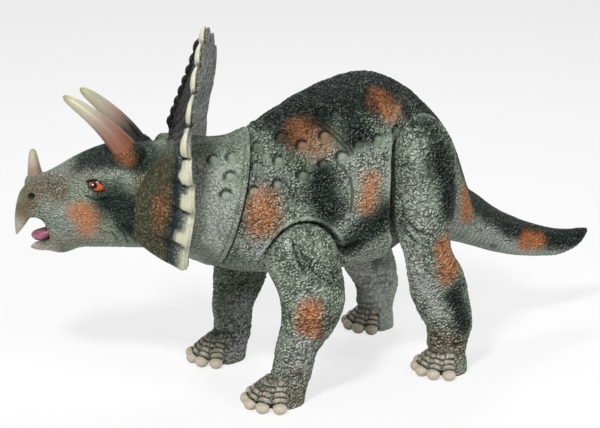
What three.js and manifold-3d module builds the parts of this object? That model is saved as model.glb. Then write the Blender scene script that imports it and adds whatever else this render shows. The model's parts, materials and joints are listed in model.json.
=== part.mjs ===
// A jointed toy dinosaur: a three-horned plant eater in hollow vinyl, standing on four feet.
// Millimetres, +Z up. The figure faces -Y and its left side is +X.
import * as THREE from 'three';
import { mergeVertices } from 'three/addons/utils/BufferGeometryUtils.js';
import Module from 'manifold-3d';

const wasm = await Module();
wasm.setup();

// Walls and fits
const WALL = 3;
const GAP = 0.3;
const CUT_OVERRUN = 4;

// Torso
const BACK_HEIGHT = 240;
const TORSO_LENGTH = 220;
const TORSO_WIDTH = 124;
const TAIL_SEAM_BACK = 115;
const SPIGOT_DEPTH = 8;

// Tail
const TAIL_LENGTH = 173;

// Neck joint
const NECK_TURN_DEGREES = 17;
const NECK_LIFT_DEGREES = 15;

// Head
const HEAD_LENGTH = 172;
const HEAD_DEPTH = 104;
const HEAD_WIDTH = 96;
const HEAD_TURN_DEGREES = 32;
const TONGUE_WIDTH = 15;
const EYE_LENGTH = 12;
const EYE_HEIGHT = 6.2;
const EYE_DEPTH = 3;

// Horns
const BROW_HORN_WIDTH = 21;
const NOSE_HORN_WIDTH = 15.5;

// Frill
const FRILL_OVERHANG = 39;
const FRILL_SWEEP = 50;
const FRILL_EDGE_THICKNESS = 3.5;
const FRILL_ROOT_THICKNESS = 14;
const FRILL_KNOB_RADIUS = 6;

// Shoulder joints and front legs
const SHOULDER_RADIUS = 30;
const SHOULDER_CLEARANCE = 1;
const SHOULDER_SHELF = 3;
const SHOULDER_FLARE = 14;
const SHOULDER_TILT_DEGREES = 14;
const FRONT_LEG_WIDTH = 34;

// Hip joints and hind legs
const THIGH_RISE = 41.8;
const HIND_LEG_DEPTH = 56;
const HIND_LEG_WIDTH = 36;

// Toes
const TOE_LENGTH = 20;
const TOE_WIDTH = 11.5;
const TOE_HEIGHT = 13;

// Joint studs and their retaining rings
const LEG_STUD_RADIUS = 4.5;
const LEG_FLANGE_RADIUS = 11;
const LEG_RING_RADIUS = 9;
const LEG_BOSS_RADIUS = 13;
const LEG_BOSS_DEPTH = 8;
const NECK_STUD_RADIUS = 8;
const NECK_FLANGE_RADIUS = 22;
const NECK_RING_RADIUS = 20;
const FLANGE_THICKNESS = 3;
const RING_THICKNESS = 3;
const RING_CLEARANCE = 1;
const STUD_TAIL = 2;

// Skin colours
const SKIN = new THREE.MeshStandardMaterial({ color: 0x87917f, roughness: 0.55, metalness: 0 });
const FRILL_SKIN = new THREE.MeshStandardMaterial({ color: 0x5d6660, roughness: 0.55, metalness: 0 });
const HORN = new THREE.MeshStandardMaterial({ color: 0xd8ceb0, roughness: 0.45, metalness: 0 });
const TONGUE = new THREE.MeshStandardMaterial({ color: 0x96556e, roughness: 0.4, metalness: 0 });
const EYE = new THREE.MeshStandardMaterial({ color: 0xdc5f3c, roughness: 0.15, metalness: 0 });
const STUD = new THREE.MeshStandardMaterial({ color: 0xd9d6cc, roughness: 0.5, metalness: 0 });

const X_AXIS = new THREE.Vector3(1, 0, 0);
const Y_AXIS = new THREE.Vector3(0, 1, 0);
const Z_AXIS = new THREE.Vector3(0, 0, 1);
const QUARTER_TURN = Math.PI / 2;
const FULL_TURN = Math.PI * 2;
const ELLIPSE = 2;
const TIP_SHARE = 0.05;
const CUT_REACH = 2 * (HEAD_LENGTH + TORSO_LENGTH + TAIL_LENGTH);

// Where the joints lie in the torso: sideways as a share of half TORSO_WIDTH, back from its front
// end as a share of TORSO_LENGTH and up from the ground as a share of BACK_HEIGHT.
const NECK_PLACE_SHARES = [0, 0.2, 0.625];
const SHOULDER_PLACE_SHARES = [0.71, 0.364, 0.47];
const HIP_PLACE_SHARES = [0.74, 0.859, 0.73];

function torsoPlace([across, back, up], side) {
  return new THREE.Vector3(
    side * across * TORSO_WIDTH / 2,
    TAIL_SEAM_BACK - TORSO_LENGTH * (1 - back),
    up * BACK_HEIGHT,
  );
}

// The neck joint turns about this line, which points from the torso into the head.
const neckCentre = torsoPlace(NECK_PLACE_SHARES, 0);
const neckAxis = new THREE.Vector3(0, -1, 0)
  .applyAxisAngle(X_AXIS, -THREE.MathUtils.degToRad(NECK_LIFT_DEGREES))
  .applyAxisAngle(Z_AXIS, -THREE.MathUtils.degToRad(NECK_TURN_DEGREES));
const headPlace = new THREE.Matrix4()
  .makeRotationZ(-THREE.MathUtils.degToRad(HEAD_TURN_DEGREES))
  .setPosition(neckCentre);

// Geometry helpers

// The value of one column at a share of the way along a table whose rows start with their own share.
// Rows are joined by cubic curves whose slope at a row is the slope between its neighbours.
function along(rows, column, share) {
  const last = rows.length - 1;
  let i = 0;
  while (i < last - 1 && share > rows[i + 1][0]) i += 1;
  const slope = (k) => {
    const before = rows[Math.max(k - 1, 0)];
    const after = rows[Math.min(k + 1, last)];
    return (after[column] - before[column]) / (after[0] - before[0]);
  };
  const span = rows[i + 1][0] - rows[i][0];
  const t = (share - rows[i][0]) / span;
  const start = (1 + 2 * t) * (1 - t) ** 2 * rows[i][column];
  const end = t ** 2 * (3 - 2 * t) * rows[i + 1][column];
  return start + end + span * t * (1 - t) * ((1 - t) * slope(i) - t * slope(i + 1));
}

function signedPower(value, exponent) {
  return Math.sign(value) * Math.abs(value) ** exponent;
}

// A closed skin of rings, each ring a loop of points, with a fan of triangles over either end.
function wrap(rings, sides, point) {
  const positions = [];
  const faces = [];
  for (let i = 0; i <= rings; i += 1) {
    for (let j = 0; j < sides; j += 1) positions.push(point(i / rings, j / sides));
  }
  const ends = [0, rings].map((i) => {
    const ring = positions.slice(i * sides, (i + 1) * sides);
    const centre = new THREE.Vector3();
    ring.forEach((p) => centre.addScaledVector(p, 1 / sides));
    positions.push(centre);
    return positions.length - 1;
  });
  for (let i = 0; i < rings; i += 1) {
    for (let j = 0; j < sides; j += 1) {
      const a = i * sides + j;
      const b = i * sides + ((j + 1) % sides);
      faces.push([a, b, b + sides], [a, b + sides, a + sides]);
    }
  }
  for (let j = 0; j < sides; j += 1) {
    const k = (j + 1) % sides;
    faces.push([ends[0], k, j], [ends[1], rings * sides + j, rings * sides + k]);
  }
  return closedGeometry(positions, faces);
}

// Turns points and faces into a geometry whose faces point outwards.
function closedGeometry(positions, faces) {
  let volume = 0;
  faces.forEach(([a, b, c]) => {
    volume += positions[a].dot(new THREE.Vector3().crossVectors(positions[b], positions[c]));
  });
  const index = volume < 0 ? faces.map(([a, b, c]) => [a, c, b]) : faces;
  const geometry = new THREE.BufferGeometry().setFromPoints(positions);
  geometry.setIndex(index.flat());
  return geometry;
}

// The solid that a closed geometry bounds, moved by a matrix.
function solid(geometry, matrix = new THREE.Matrix4()) {
  const merged = mergeVertices(positionsOnly(geometry));
  merged.applyMatrix4(matrix);
  return new wasm.Manifold(new wasm.Mesh({
    numProp: 3,
    vertProperties: merged.attributes.position.array,
    triVerts: merged.index.array,
  }));
}

function positionsOnly(geometry) {
  const bare = geometry.clone();
  bare.deleteAttribute('normal');
  bare.deleteAttribute('uv');
  return bare;
}

function piece(name, body, material) {
  const mesh = body.getMesh();
  const geometry = new THREE.BufferGeometry();
  geometry.setAttribute('position', new THREE.BufferAttribute(mesh.vertProperties, mesh.numProp));
  geometry.setIndex(new THREE.BufferAttribute(mesh.triVerts, 1));
  geometry.computeVertexNormals();
  const result = new THREE.Mesh(geometry, material);
  result.name = name;
  return result;
}

// A rigid move whose local Z axis runs along a direction.
function aim(origin, direction) {
  const turn = new THREE.Quaternion().setFromUnitVectors(Z_AXIS, direction);
  return new THREE.Matrix4().makeRotationFromQuaternion(turn).setPosition(origin);
}

// Everything on the far side of a plane: the side that the direction points to.
function halfSpace(origin, direction) {
  const centre = origin.clone().addScaledVector(direction, CUT_REACH / 2);
  return solid(new THREE.BoxGeometry(CUT_REACH, CUT_REACH, CUT_REACH), aim(centre, direction));
}

// A solid of revolution about a line, from [radius, distance along the line] pairs.
function turned(profile, origin, direction, sides) {
  const points = profile.map(([radius, height]) => new THREE.Vector2(radius, height));
  const geometry = new THREE.LatheGeometry(points, sides);
  geometry.applyMatrix4(new THREE.Matrix4().makeRotationX(QUARTER_TURN));
  return solid(outward(geometry), aim(origin, direction));
}

function outward(geometry) {
  const merged = mergeVertices(positionsOnly(geometry));
  const corner = (k) => new THREE.Vector3().fromBufferAttribute(merged.attributes.position, k);
  const positions = Array.from({ length: merged.attributes.position.count }, (_, k) => corner(k));
  const faces = [];
  for (let k = 0; k < merged.index.count; k += 3) {
    const face = [0, 1, 2].map((n) => merged.index.getX(k + n));
    if (new Set(face).size === face.length) faces.push(face);
  }
  return closedGeometry(positions, faces);
}

function disc(radius, from, to, origin, direction, sides) {
  return turned([[0, from], [radius, from], [radius, to], [0, to]], origin, direction, sides);
}

// A ball with its own half width, depth and height, put in its place by a matrix.
function ball(halfSizes, sides, place) {
  const shape = new THREE.SphereGeometry(1, sides, Math.ceil(sides / 2)).rotateX(QUARTER_TURN);
  const size = new THREE.Matrix4().makeScale(halfSizes.x, halfSizes.y, halfSizes.z);
  return solid(outward(shape), place.clone().multiply(size));
}

// An oval section that may reach further below its widest level than above it.
// The last two values are the exponents of its upper and lower half: 2 is an ellipse.
function oval(turn, { side, above, below, roundAbove, roundBelow }) {
  const c = Math.cos(turn * FULL_TURN);
  const s = Math.sin(turn * FULL_TURN);
  const exponent = 2 / (s > 0 ? roundAbove : roundBelow);
  return {
    across: side * signedPower(c, exponent),
    up: (s > 0 ? above : below) * signedPower(s, exponent),
  };
}

// Torso. Columns: share of the length from the neck end; back, widest level and belly as shares
// of BACK_HEIGHT; half width and sideways shift as shares of half TORSO_WIDTH; squareness of the
// lower half, where 2 is an ellipse.
const TORSO_SHARES = [
  [0.0, 0.862, 0.650, 0.470, 0.66, -0.36, 2],
  [0.1, 0.852, 0.638, 0.433, 0.77, -0.13, 2],
  [0.2, 0.85, 0.625, 0.408, 0.81, 0.0, 2.05],
  [0.3, 0.877, 0.575, 0.396, 0.83, 0.0, 2.5],
  [0.4, 0.922, 0.550, 0.388, 0.87, 0.0, 2.8],
  [0.5, 0.961, 0.570, 0.381, 0.94, 0.0, 2.7],
  [0.6, 0.993, 0.608, 0.379, 0.99, 0.0, 2.6],
  [0.7, 1.01, 0.629, 0.385, 1.0, 0.0, 2.6],
  [0.8, 1.002, 0.654, 0.420, 0.94, 0.0, 2.5],
  [0.9, 0.952, 0.670, 0.442, 0.81, 0.0, 2.3],
  [1.0, 0.869, 0.642, 0.417, 0.7, 0.0, 2.1],
];

// With an extension, the last ring stands straight behind the rear one.
function torsoSkin(grow, rings, sides, extend) {
  const front = TAIL_SEAM_BACK - TORSO_LENGTH;
  const skinRings = extend > 0 ? rings - 1 : rings;
  return solid(wrap(rings, sides, (t, turn) => {
    const share = Math.min(t * rings / skinRings, 1);
    const value = (column) => along(TORSO_SHARES, column, share);
    const level = value(2) * BACK_HEIGHT;
    const { across, up } = oval(turn, {
      side: value(4) * TORSO_WIDTH / 2 + grow,
      above: value(1) * BACK_HEIGHT - level + grow,
      below: level - value(3) * BACK_HEIGHT + grow,
      roundAbove: ELLIPSE,
      roundBelow: value(6),
    });
    const back = front + share * TORSO_LENGTH + (t === 1 ? extend : 0);
    return new THREE.Vector3(value(5) * TORSO_WIDTH / 2 + across, back, level + up);
  }));
}

const TORSO_RINGS = 22;
const TORSO_SIDES = 28;
const HOLLOW_RINGS = 10;
const HOLLOW_SIDES = 16;
const JOINT_SIDES = 28;
const BORE_SIDES = 12;

// The four leg joints: where each turns, its outward side and what its recess is.
const shoulders = [['left', 1], ['right', -1]].map(([name, side]) => ({
  name,
  side,
  centre: torsoPlace(SHOULDER_PLACE_SHARES, side),
  out: new THREE.Vector3(side, 0, 0),
}));
const hips = [['left', 1], ['right', -1]].map(([name, side]) => ({
  name,
  side,
  centre: torsoPlace(HIP_PLACE_SHARES, side),
  out: new THREE.Vector3(side, 0, 0),
}));

// The lip of the flank in front of the thigh, from the belly round to the rump.
// Columns: share of HIND_LEG_DEPTH back from the hip joint, and of BACK_HEIGHT up from the ground.
const HIP_LIP_SHARES = [
  [-0.505, 0.40], [-0.55, 0.50], [-0.645, 0.545], [-0.655, 0.60], [-0.645, 0.68], [-0.61, 0.76],
  [-0.53, 0.83], [-0.41, 0.885], [-0.215, 0.925], [0.04, 0.94], [1.5, 0.94], [1.5, 0.3], [-0.47, 0.3],
];

function hipRecess({ side, centre }) {
  const points = HIP_LIP_SHARES.map(([back, up]) => (
    new THREE.Vector2(centre.y + back * HIND_LEG_DEPTH, up * BACK_HEIGHT)
  ));
  const outline = new THREE.Shape(points);
  const block = new THREE.ExtrudeGeometry(outline, { depth: TORSO_WIDTH, bevelEnabled: false });
  const upright = new THREE.Matrix4().makeBasis(Y_AXIS, Z_AXIS, X_AXIS);
  const start = side > 0 ? centre.x : centre.x - TORSO_WIDTH;
  return solid(block, upright.setPosition(start, 0, 0));
}

// The cone that widens outwards from a shoulder's seat.
function shoulderCone({ centre, out }, clearance) {
  const seat = SHOULDER_RADIUS + SHOULDER_SHELF + clearance;
  const flare = SHOULDER_FLARE;
  const profile = [[0, -CUT_OVERRUN], [seat, -CUT_OVERRUN], [seat, 0]];
  profile.push([seat + flare, flare], [seat + flare, TORSO_WIDTH], [0, TORSO_WIDTH]);
  return turned(profile, centre, out, JOINT_SIDES);
}

// A round seat for the shoulder, with a flare below it that the swinging upper arm clears.
function shoulderRecess(joint) {
  const seat = SHOULDER_RADIUS + SHOULDER_CLEARANCE;
  const round = disc(seat, 0, TORSO_WIDTH, joint.centre, joint.out, JOINT_SIDES);
  const tilt = THREE.MathUtils.degToRad(SHOULDER_TILT_DEGREES);
  const down = new THREE.Vector3(0, Math.sin(tilt), -Math.cos(tilt));
  const below = shoulderCone(joint, SHOULDER_CLEARANCE)
    .intersect(halfSpace(joint.centre, down))
    .intersect(halfSpace(joint.centre, joint.out));
  return round.add(below);
}

function legBoss(joint) {
  return disc(LEG_BOSS_RADIUS, -LEG_BOSS_DEPTH, CUT_OVERRUN, joint.centre, joint.out, BORE_SIDES);
}

// Room inside the torso for the ring on the end of a leg's stud.
function ringRoom({ centre, out }) {
  const reach = LEG_BOSS_DEPTH + GAP + RING_THICKNESS + STUD_TAIL + RING_CLEARANCE;
  return disc(LEG_RING_RADIUS + RING_CLEARANCE, -reach, -LEG_BOSS_DEPTH, centre, out, BORE_SIDES);
}

function legBore({ centre, out }) {
  const radius = LEG_STUD_RADIUS + GAP;
  return disc(radius, -LEG_BOSS_DEPTH - CUT_OVERRUN, CUT_OVERRUN, centre, out, BORE_SIDES);
}

function neckBore() {
  const reach = WALL + GAP + CUT_OVERRUN;
  return disc(NECK_STUD_RADIUS + GAP, -reach, reach, neckCentre, neckAxis, BORE_SIDES);
}

function torsoShell() {
  const seam = neckCentre.clone().addScaledVector(neckAxis, -GAP / 2);
  const innerSeam = neckCentre.clone().addScaledVector(neckAxis, -GAP / 2 - WALL);
  let body = torsoSkin(0, TORSO_RINGS, TORSO_SIDES, 0).subtract(halfSpace(seam, neckAxis));
  let hollow = torsoSkin(-WALL, HOLLOW_RINGS, HOLLOW_SIDES, CUT_OVERRUN)
    .subtract(halfSpace(innerSeam, neckAxis));
  shoulders.forEach((joint) => {
    body = body.subtract(shoulderRecess(joint));
    const wall = disc(SHOULDER_RADIUS + WALL, -WALL, TORSO_WIDTH, joint.centre, joint.out, BORE_SIDES);
    hollow = hollow.subtract(wall);
  });
  hips.forEach((joint) => {
    body = body.subtract(hipRecess(joint));
    const wall = halfSpace(joint.centre.clone().addScaledVector(joint.out, -WALL), joint.out);
    hollow = hollow.subtract(wall);
  });
  [...shoulders, ...hips].forEach((joint) => {
    hollow = hollow.subtract(legBoss(joint)).add(ringRoom(joint));
  });
  body = body.subtract(hollow);
  [...shoulders, ...hips].forEach((joint) => {
    body = body.subtract(legBore(joint));
  });
  return body.subtract(neckBore());
}

// Tail. Columns: share of the length from the seam; top, underside as shares of BACK_HEIGHT;
// half width as a share of half TORSO_WIDTH.
const TAIL_SHARES = [
  [0.0, 0.869, 0.417, 0.7],
  [0.05, 0.822, 0.404, 0.68],
  [0.1, 0.742, 0.392, 0.62],
  [0.15, 0.645, 0.379, 0.565],
  [0.2, 0.585, 0.367, 0.51],
  [0.3, 0.53, 0.338, 0.42],
  [0.4, 0.475, 0.31, 0.36],
  [0.5, 0.433, 0.287, 0.31],
  [0.6, 0.398, 0.27, 0.26],
  [0.7, 0.369, 0.257, 0.22],
  [0.8, 0.346, 0.249, 0.175],
  [0.9, 0.334, 0.259, 0.12],
  [0.96, 0.332, 0.28, 0.075],
  [1.0, 0.328, 0.31, 0.02],
];
const TAIL_ROUND = 2.1;
const TAIL_WIDEST_SHARE = 0.48;
const TAIL_HOLLOW_SHARE = 0.8;

function tailSkin(grow, rings, sides, fromShare, toShare) {
  return solid(wrap(rings, sides, (t, turn) => {
    const share = fromShare + t * (toShare - fromShare);
    const value = (column) => along(TAIL_SHARES, column, share);
    const depth = (value(1) - value(2)) * BACK_HEIGHT;
    const level = value(2) * BACK_HEIGHT + depth * TAIL_WIDEST_SHARE;
    const { across, up } = oval(turn, {
      side: value(3) * TORSO_WIDTH / 2 + grow,
      above: depth * (1 - TAIL_WIDEST_SHARE) + grow,
      below: depth * TAIL_WIDEST_SHARE + grow,
      roundAbove: TAIL_ROUND,
      roundBelow: TAIL_ROUND,
    });
    return new THREE.Vector3(across, TAIL_SEAM_BACK + GAP + share * TAIL_LENGTH, level + up);
  }));
}

const TAIL_RINGS = 16;
const TAIL_SIDES = 16;

// The tail shell plugs into the torso's open rear with a short collar.
function tailShell() {
  const collarFront = new THREE.Vector3(0, TAIL_SEAM_BACK - SPIGOT_DEPTH, 0);
  const fit = WALL + GAP;
  const collar = torsoSkin(-fit, HOLLOW_RINGS, HOLLOW_SIDES, CUT_OVERRUN)
    .intersect(halfSpace(collarFront, Y_AXIS))
    .subtract(halfSpace(new THREE.Vector3(0, TAIL_SEAM_BACK + fit, 0), Y_AXIS));
  const bore = torsoSkin(-fit - WALL, HOLLOW_RINGS, HOLLOW_SIDES, CUT_OVERRUN);
  const hollow = tailSkin(-WALL, HOLLOW_RINGS, HOLLOW_SIDES, WALL / TAIL_LENGTH, TAIL_HOLLOW_SHARE);
  return tailSkin(0, TAIL_RINGS, TAIL_SIDES, 0, 1).add(collar).subtract(hollow).subtract(bore);
}

// Head, in its own frame: it looks along -Y from the neck joint's centre.
// Columns: share of HEAD_LENGTH forward; crown, widest level and jaw as shares of HEAD_DEPTH
// above the joint; half width as a share of half HEAD_WIDTH.
const HEAD_SHARES = [
  [0.0, 0.46, 0.02, -0.44, 0.86],
  [0.09, 0.48, 0.03, -0.43, 0.93],
  [0.17, 0.48, 0.04, -0.4, 0.95],
  [0.26, 0.48, 0.02, -0.365, 0.92],
  [0.36, 0.465, 0.0, -0.325, 0.84],
  [0.465, 0.455, -0.01, -0.33, 0.73],
  [0.535, 0.455, -0.02, -0.335, 0.65],
  [0.59, 0.438, -0.02, -0.34, 0.59],
  [0.685, 0.37, -0.03, -0.35, 0.5],
  [0.78, 0.276, -0.05, -0.405, 0.4],
  [0.85, 0.215, -0.08, -0.39, 0.33],
  [0.9, 0.185, -0.1, -0.385, 0.28],
  [0.94, 0.125, -0.11, -0.36, 0.22],
  [0.97, 0.06, -0.12, -0.33, 0.16],
  [0.99, -0.05, -0.19, -0.30, 0.09],
  [1.0, -0.14, -0.21, -0.27, 0.03],
];
const HEAD_ROUND_BELOW = 2.3;
const HEAD_HOLLOW_SHARE = 0.74;
const HEAD_RINGS = 26;
const HEAD_SIDES = 20;

function headSection(share) {
  const value = (column) => along(HEAD_SHARES, column, share);
  const level = value(2) * HEAD_DEPTH;
  return {
    level,
    side: value(4) * HEAD_WIDTH / 2,
    above: value(1) * HEAD_DEPTH - level,
    below: level - value(3) * HEAD_DEPTH,
  };
}

function headSkin(grow, rings, sides, reachShare) {
  return solid(wrap(rings, sides, (t, turn) => {
    const section = headSection(t * reachShare);
    const { across, up } = oval(turn, {
      side: section.side + grow,
      above: section.above + grow,
      below: section.below + grow,
      roundAbove: ELLIPSE,
      roundBelow: HEAD_ROUND_BELOW,
    });
    const forward = t * reachShare * HEAD_LENGTH + (t === 1 ? grow : 0);
    return new THREE.Vector3(across, -forward, section.level + up);
  }), headPlace);
}

// The skin of head and neck together, in front of the neck seam.
function headOutside(grow) {
  const seam = neckCentre.clone().addScaledVector(neckAxis, GAP / 2);
  return torsoSkin(grow, TORSO_RINGS, TORSO_SIDES, 0)
    .add(headSkin(grow, HEAD_RINGS, HEAD_SIDES, 1))
    .intersect(halfSpace(seam, neckAxis));
}

// The open mouth, seen from the side: forward share of HEAD_LENGTH, height share of HEAD_DEPTH.
const MOUTH_SHARES = [
  [1.06, -0.25], [0.977, -0.25], [0.94, -0.165], [0.915, -0.106], [0.85, -0.106], [0.83, -0.19],
  [0.815, -0.27], [0.865, -0.32], [0.925, -0.355], [0.91, -0.44], [1.06, -0.44],
];

function headPrism(shares, halfWidth) {
  const outline = new THREE.Shape(shares.map(([forward, up]) => (
    new THREE.Vector2(-forward * HEAD_LENGTH, up * HEAD_DEPTH)
  )));
  const block = new THREE.ExtrudeGeometry(outline, { depth: 2 * halfWidth, bevelEnabled: false });
  const upright = new THREE.Matrix4().makeBasis(Y_AXIS, Z_AXIS, X_AXIS).setPosition(-halfWidth, 0, 0);
  return solid(block, headPlace.clone().multiply(upright));
}

const EYE_FORWARD_SHARE = 0.581;
const EYE_HEIGHT_SHARE = 0.19;
const EYE_SINK_SHARE = 0.2;
const EYE_SIDES = 10;

// The place on the side of the head at a height, in the head's frame.
function headSide(forwardShare, heightShare) {
  const section = headSection(forwardShare);
  const rise = (heightShare * HEAD_DEPTH - section.level) / section.above;
  const across = section.side * Math.sqrt(1 - rise ** 2);
  return new THREE.Vector3(across, -forwardShare * HEAD_LENGTH, heightShare * HEAD_DEPTH);
}

function eyeBall(side, grow) {
  const centre = headSide(EYE_FORWARD_SHARE, EYE_HEIGHT_SHARE);
  centre.x = side * (centre.x - EYE_SINK_SHARE * EYE_DEPTH);
  const half = new THREE.Vector3(EYE_DEPTH, EYE_LENGTH, EYE_HEIGHT).divideScalar(2).addScalar(grow);
  return ball(half, EYE_SIDES, headPlace.clone().multiply(new THREE.Matrix4().setPosition(centre)));
}

function headShell() {
  const innerSeam = neckCentre.clone().addScaledVector(neckAxis, GAP / 2 + WALL);
  const neckFront = new THREE.Vector3(0, TAIL_SEAM_BACK - TORSO_LENGTH + WALL, 0);
  const hollow = torsoSkin(-WALL, HOLLOW_RINGS, HOLLOW_SIDES, 0)
    .intersect(halfSpace(neckFront, Y_AXIS))
    .add(headSkin(-WALL, HOLLOW_RINGS, HOLLOW_SIDES, HEAD_HOLLOW_SHARE))
    .intersect(halfSpace(innerSeam, neckAxis));
  let body = headOutside(0)
    .subtract(headPrism(MOUTH_SHARES, HEAD_WIDTH / 2))
    .subtract(hollow)
    .subtract(neckBore());
  [1, -1].forEach((side) => {
    body = body.subtract(eyeBall(side, GAP));
  });
  shoulders.forEach((joint) => {
    body = body.subtract(shoulderRecess(joint));
  });
  return body;
}

// Tongue: along the floor of the open mouth. Columns: share of its own reach from root to tip,
// top and underside as shares of HEAD_DEPTH, half width as a share of half TONGUE_WIDTH.
const TONGUE_ROOT_SHARE = 0.833;
const TONGUE_TIP_SHARE = 0.925;
const TONGUE_SHARES = [
  [0.0, -0.2, -0.284, 0.85],
  [0.35, -0.215, -0.314, 1.0],
  [0.75, -0.235, -0.312, 0.85],
  [0.95, -0.25, -0.29, 0.45],
  [1.0, -0.262, -0.272, 0.15],
];
const TONGUE_RINGS = 7;
const TONGUE_SIDES = 10;

function tongue() {
  return solid(wrap(TONGUE_RINGS, TONGUE_SIDES, (t, turn) => {
    const value = (column) => along(TONGUE_SHARES, column, t);
    const level = (value(1) + value(2)) / 2 * HEAD_DEPTH;
    const half = (value(1) - value(2)) / 2 * HEAD_DEPTH;
    const { across, up } = oval(turn, {
      side: value(3) * TONGUE_WIDTH / 2,
      above: half,
      below: half,
      roundAbove: ELLIPSE,
      roundBelow: ELLIPSE,
    });
    const forward = TONGUE_ROOT_SHARE + t * (TONGUE_TIP_SHARE - TONGUE_ROOT_SHARE);
    return new THREE.Vector3(across, -forward * HEAD_LENGTH, level + up);
  }), headPlace);
}

// Horns: a round section carried along a bent line and tapering to a blunt tip.
// Each line is given by three points: forward share of HEAD_LENGTH, sideways share of half
// HEAD_WIDTH and height share of HEAD_DEPTH.
const BROW_HORN_SHARES = {
  left: [[0.44, 0.36, 0.4], [0.53, 0.4, 0.65], [0.73, 0.31, 0.84]],
  right: [[0.44, 0.36, 0.38], [0.52, 0.4, 0.635], [0.69, 0.31, 0.835]],
};
const NOSE_HORN_SHARES = [[0.885, 0.0, 0.08], [0.9, 0.0, 0.25], [0.9, 0.0, 0.4]];
const HORN_TIP_SHARE = 0.34;
const HORN_BLUNTNESS = 18;
const HORN_RINGS = 9;
const HORN_SIDES = 10;

function horn(shares, side, width) {
  const points = shares.map(([forward, across, up]) => (
    new THREE.Vector3(side * across * HEAD_WIDTH / 2, -forward * HEAD_LENGTH, up * HEAD_DEPTH)
  ));
  const line = new THREE.QuadraticBezierCurve3(...points);
  const body = solid(wrap(HORN_RINGS, HORN_SIDES, (t, turn) => {
    const place = Math.sin(t * QUARTER_TURN);
    const taper = HORN_TIP_SHARE + (1 - HORN_TIP_SHARE) * (1 - place);
    const rounding = Math.sqrt(Math.max(1 - place ** HORN_BLUNTNESS, TIP_SHARE ** 2));
    const radius = width / 2 * taper * rounding;
    const forward = line.getTangent(place);
    const right = new THREE.Vector3().crossVectors(forward, X_AXIS).normalize();
    const up = new THREE.Vector3().crossVectors(right, forward);
    return line.getPoint(place)
      .addScaledVector(right, radius * Math.cos(turn * FULL_TURN))
      .addScaledVector(up, radius * Math.sin(turn * FULL_TURN));
  }), headPlace);
  return body.subtract(headOutside(GAP));
}

// Frill: a shield swept back from the crown, worked out round a centre above the neck.
// Columns: share of the arc from the top to the lower corner; edge radius as a share of
// frillRadius; how far forward the left and the right edge stand as shares of FRILL_SWEEP; how
// far the front fills out forward towards the cheek, as a share of FRILL_SWEEP.
const frillRadius = HEAD_WIDTH / 2 + FRILL_OVERHANG;
const FRILL_ARC_DEGREES = 153;
const FRILL_SHARES = [
  [0.0, 0.92, 0.38, 0.38, 0.0],
  [0.12, 0.87, 0.38, 0.38, 0.0],
  [0.29, 0.84, 0.4, 0.4, 0.0],
  [0.4, 0.83, 0.43, 0.47, 0.0],
  [0.5, 0.78, 0.49, 0.57, 0.4],
  [0.65, 0.73, 0.48, 0.63, 1.8],
  [0.79, 0.76, 0.47, 0.65, 3.2],
  [0.9, 0.9, 0.56, 0.66, 3.9],
  [1.0, 1.05, 0.66, 0.68, 4.5],
];
const FRILL_CENTRE_SHARE = 0.48;
const FRILL_INNER_SHARE = 0.05;
const FRILL_BOW = 1.05;
const FRILL_CHEEK_RISE = 2;
const FRILL_CHEEK_FALL = 0.85;
const FRILL_POINTS = 17;
const FRILL_POINT_SHARE = 0.1;
const FRILL_POINT_FALL = 8;
const FRILL_STEPS_PER_POINT = 3;
const FRILL_STATIONS = 5;

// A point on the frill, from its arc (-1 to 1), its share of the way out and its depth. A cheek
// of 1 gives the front, which fills out towards the cheek, and 0 the back.
function frillPoint(arc, out, depth, cheek) {
  const share = Math.abs(arc);
  const scallop = Math.abs(Math.cos(arc * (FRILL_POINTS - 1) * QUARTER_TURN));
  const point = FRILL_POINT_SHARE * scallop * out ** FRILL_POINT_FALL;
  const edge = frillRadius * (along(FRILL_SHARES, 1, share) + point);
  const edgeForward = along(FRILL_SHARES, arc > 0 ? 2 : 3, share) * FRILL_SWEEP;
  const angle = THREE.MathUtils.degToRad(arc * FRILL_ARC_DEGREES);
  const fullness = cheek * along(FRILL_SHARES, 4, share) * FRILL_SWEEP;
  const forward = edgeForward + (FRILL_SWEEP - edgeForward) * (1 - out ** FRILL_BOW)
    + fullness * out ** FRILL_CHEEK_RISE * Math.max(1 - out, 0) ** FRILL_CHEEK_FALL;
  return new THREE.Vector3(
    edge * out * Math.sin(angle),
    -forward + depth,
    FRILL_CENTRE_SHARE * HEAD_DEPTH + edge * out * Math.cos(angle),
  );
}

function frillPlate() {
  const sides = 2 * FRILL_STATIONS;
  return solid(wrap(FRILL_POINTS * FRILL_STEPS_PER_POINT, sides, (t, turn) => {
    const k = Math.round(turn * sides);
    const front = k < FRILL_STATIONS;
    const step = (front ? k : sides - 1 - k) / (FRILL_STATIONS - 1);
    const out = FRILL_INNER_SHARE + (1 - FRILL_INNER_SHARE) * step;
    const thickness = FRILL_ROOT_THICKNESS + (FRILL_EDGE_THICKNESS - FRILL_ROOT_THICKNESS) * step;
    return front ? frillPoint(2 * t - 1, out, 0, 1) : frillPoint(2 * t - 1, out, thickness, 0);
  }), headPlace);
}

const FRILL_KNOBS = 8;
const FRILL_KNOB_START_SHARE = 0.2;
const FRILL_KNOB_END_SHARE = 0.89;
const FRILL_KNOB_SINK_SHARE = 0.25;
const FRILL_KNOB_SIDES = 8;

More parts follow.
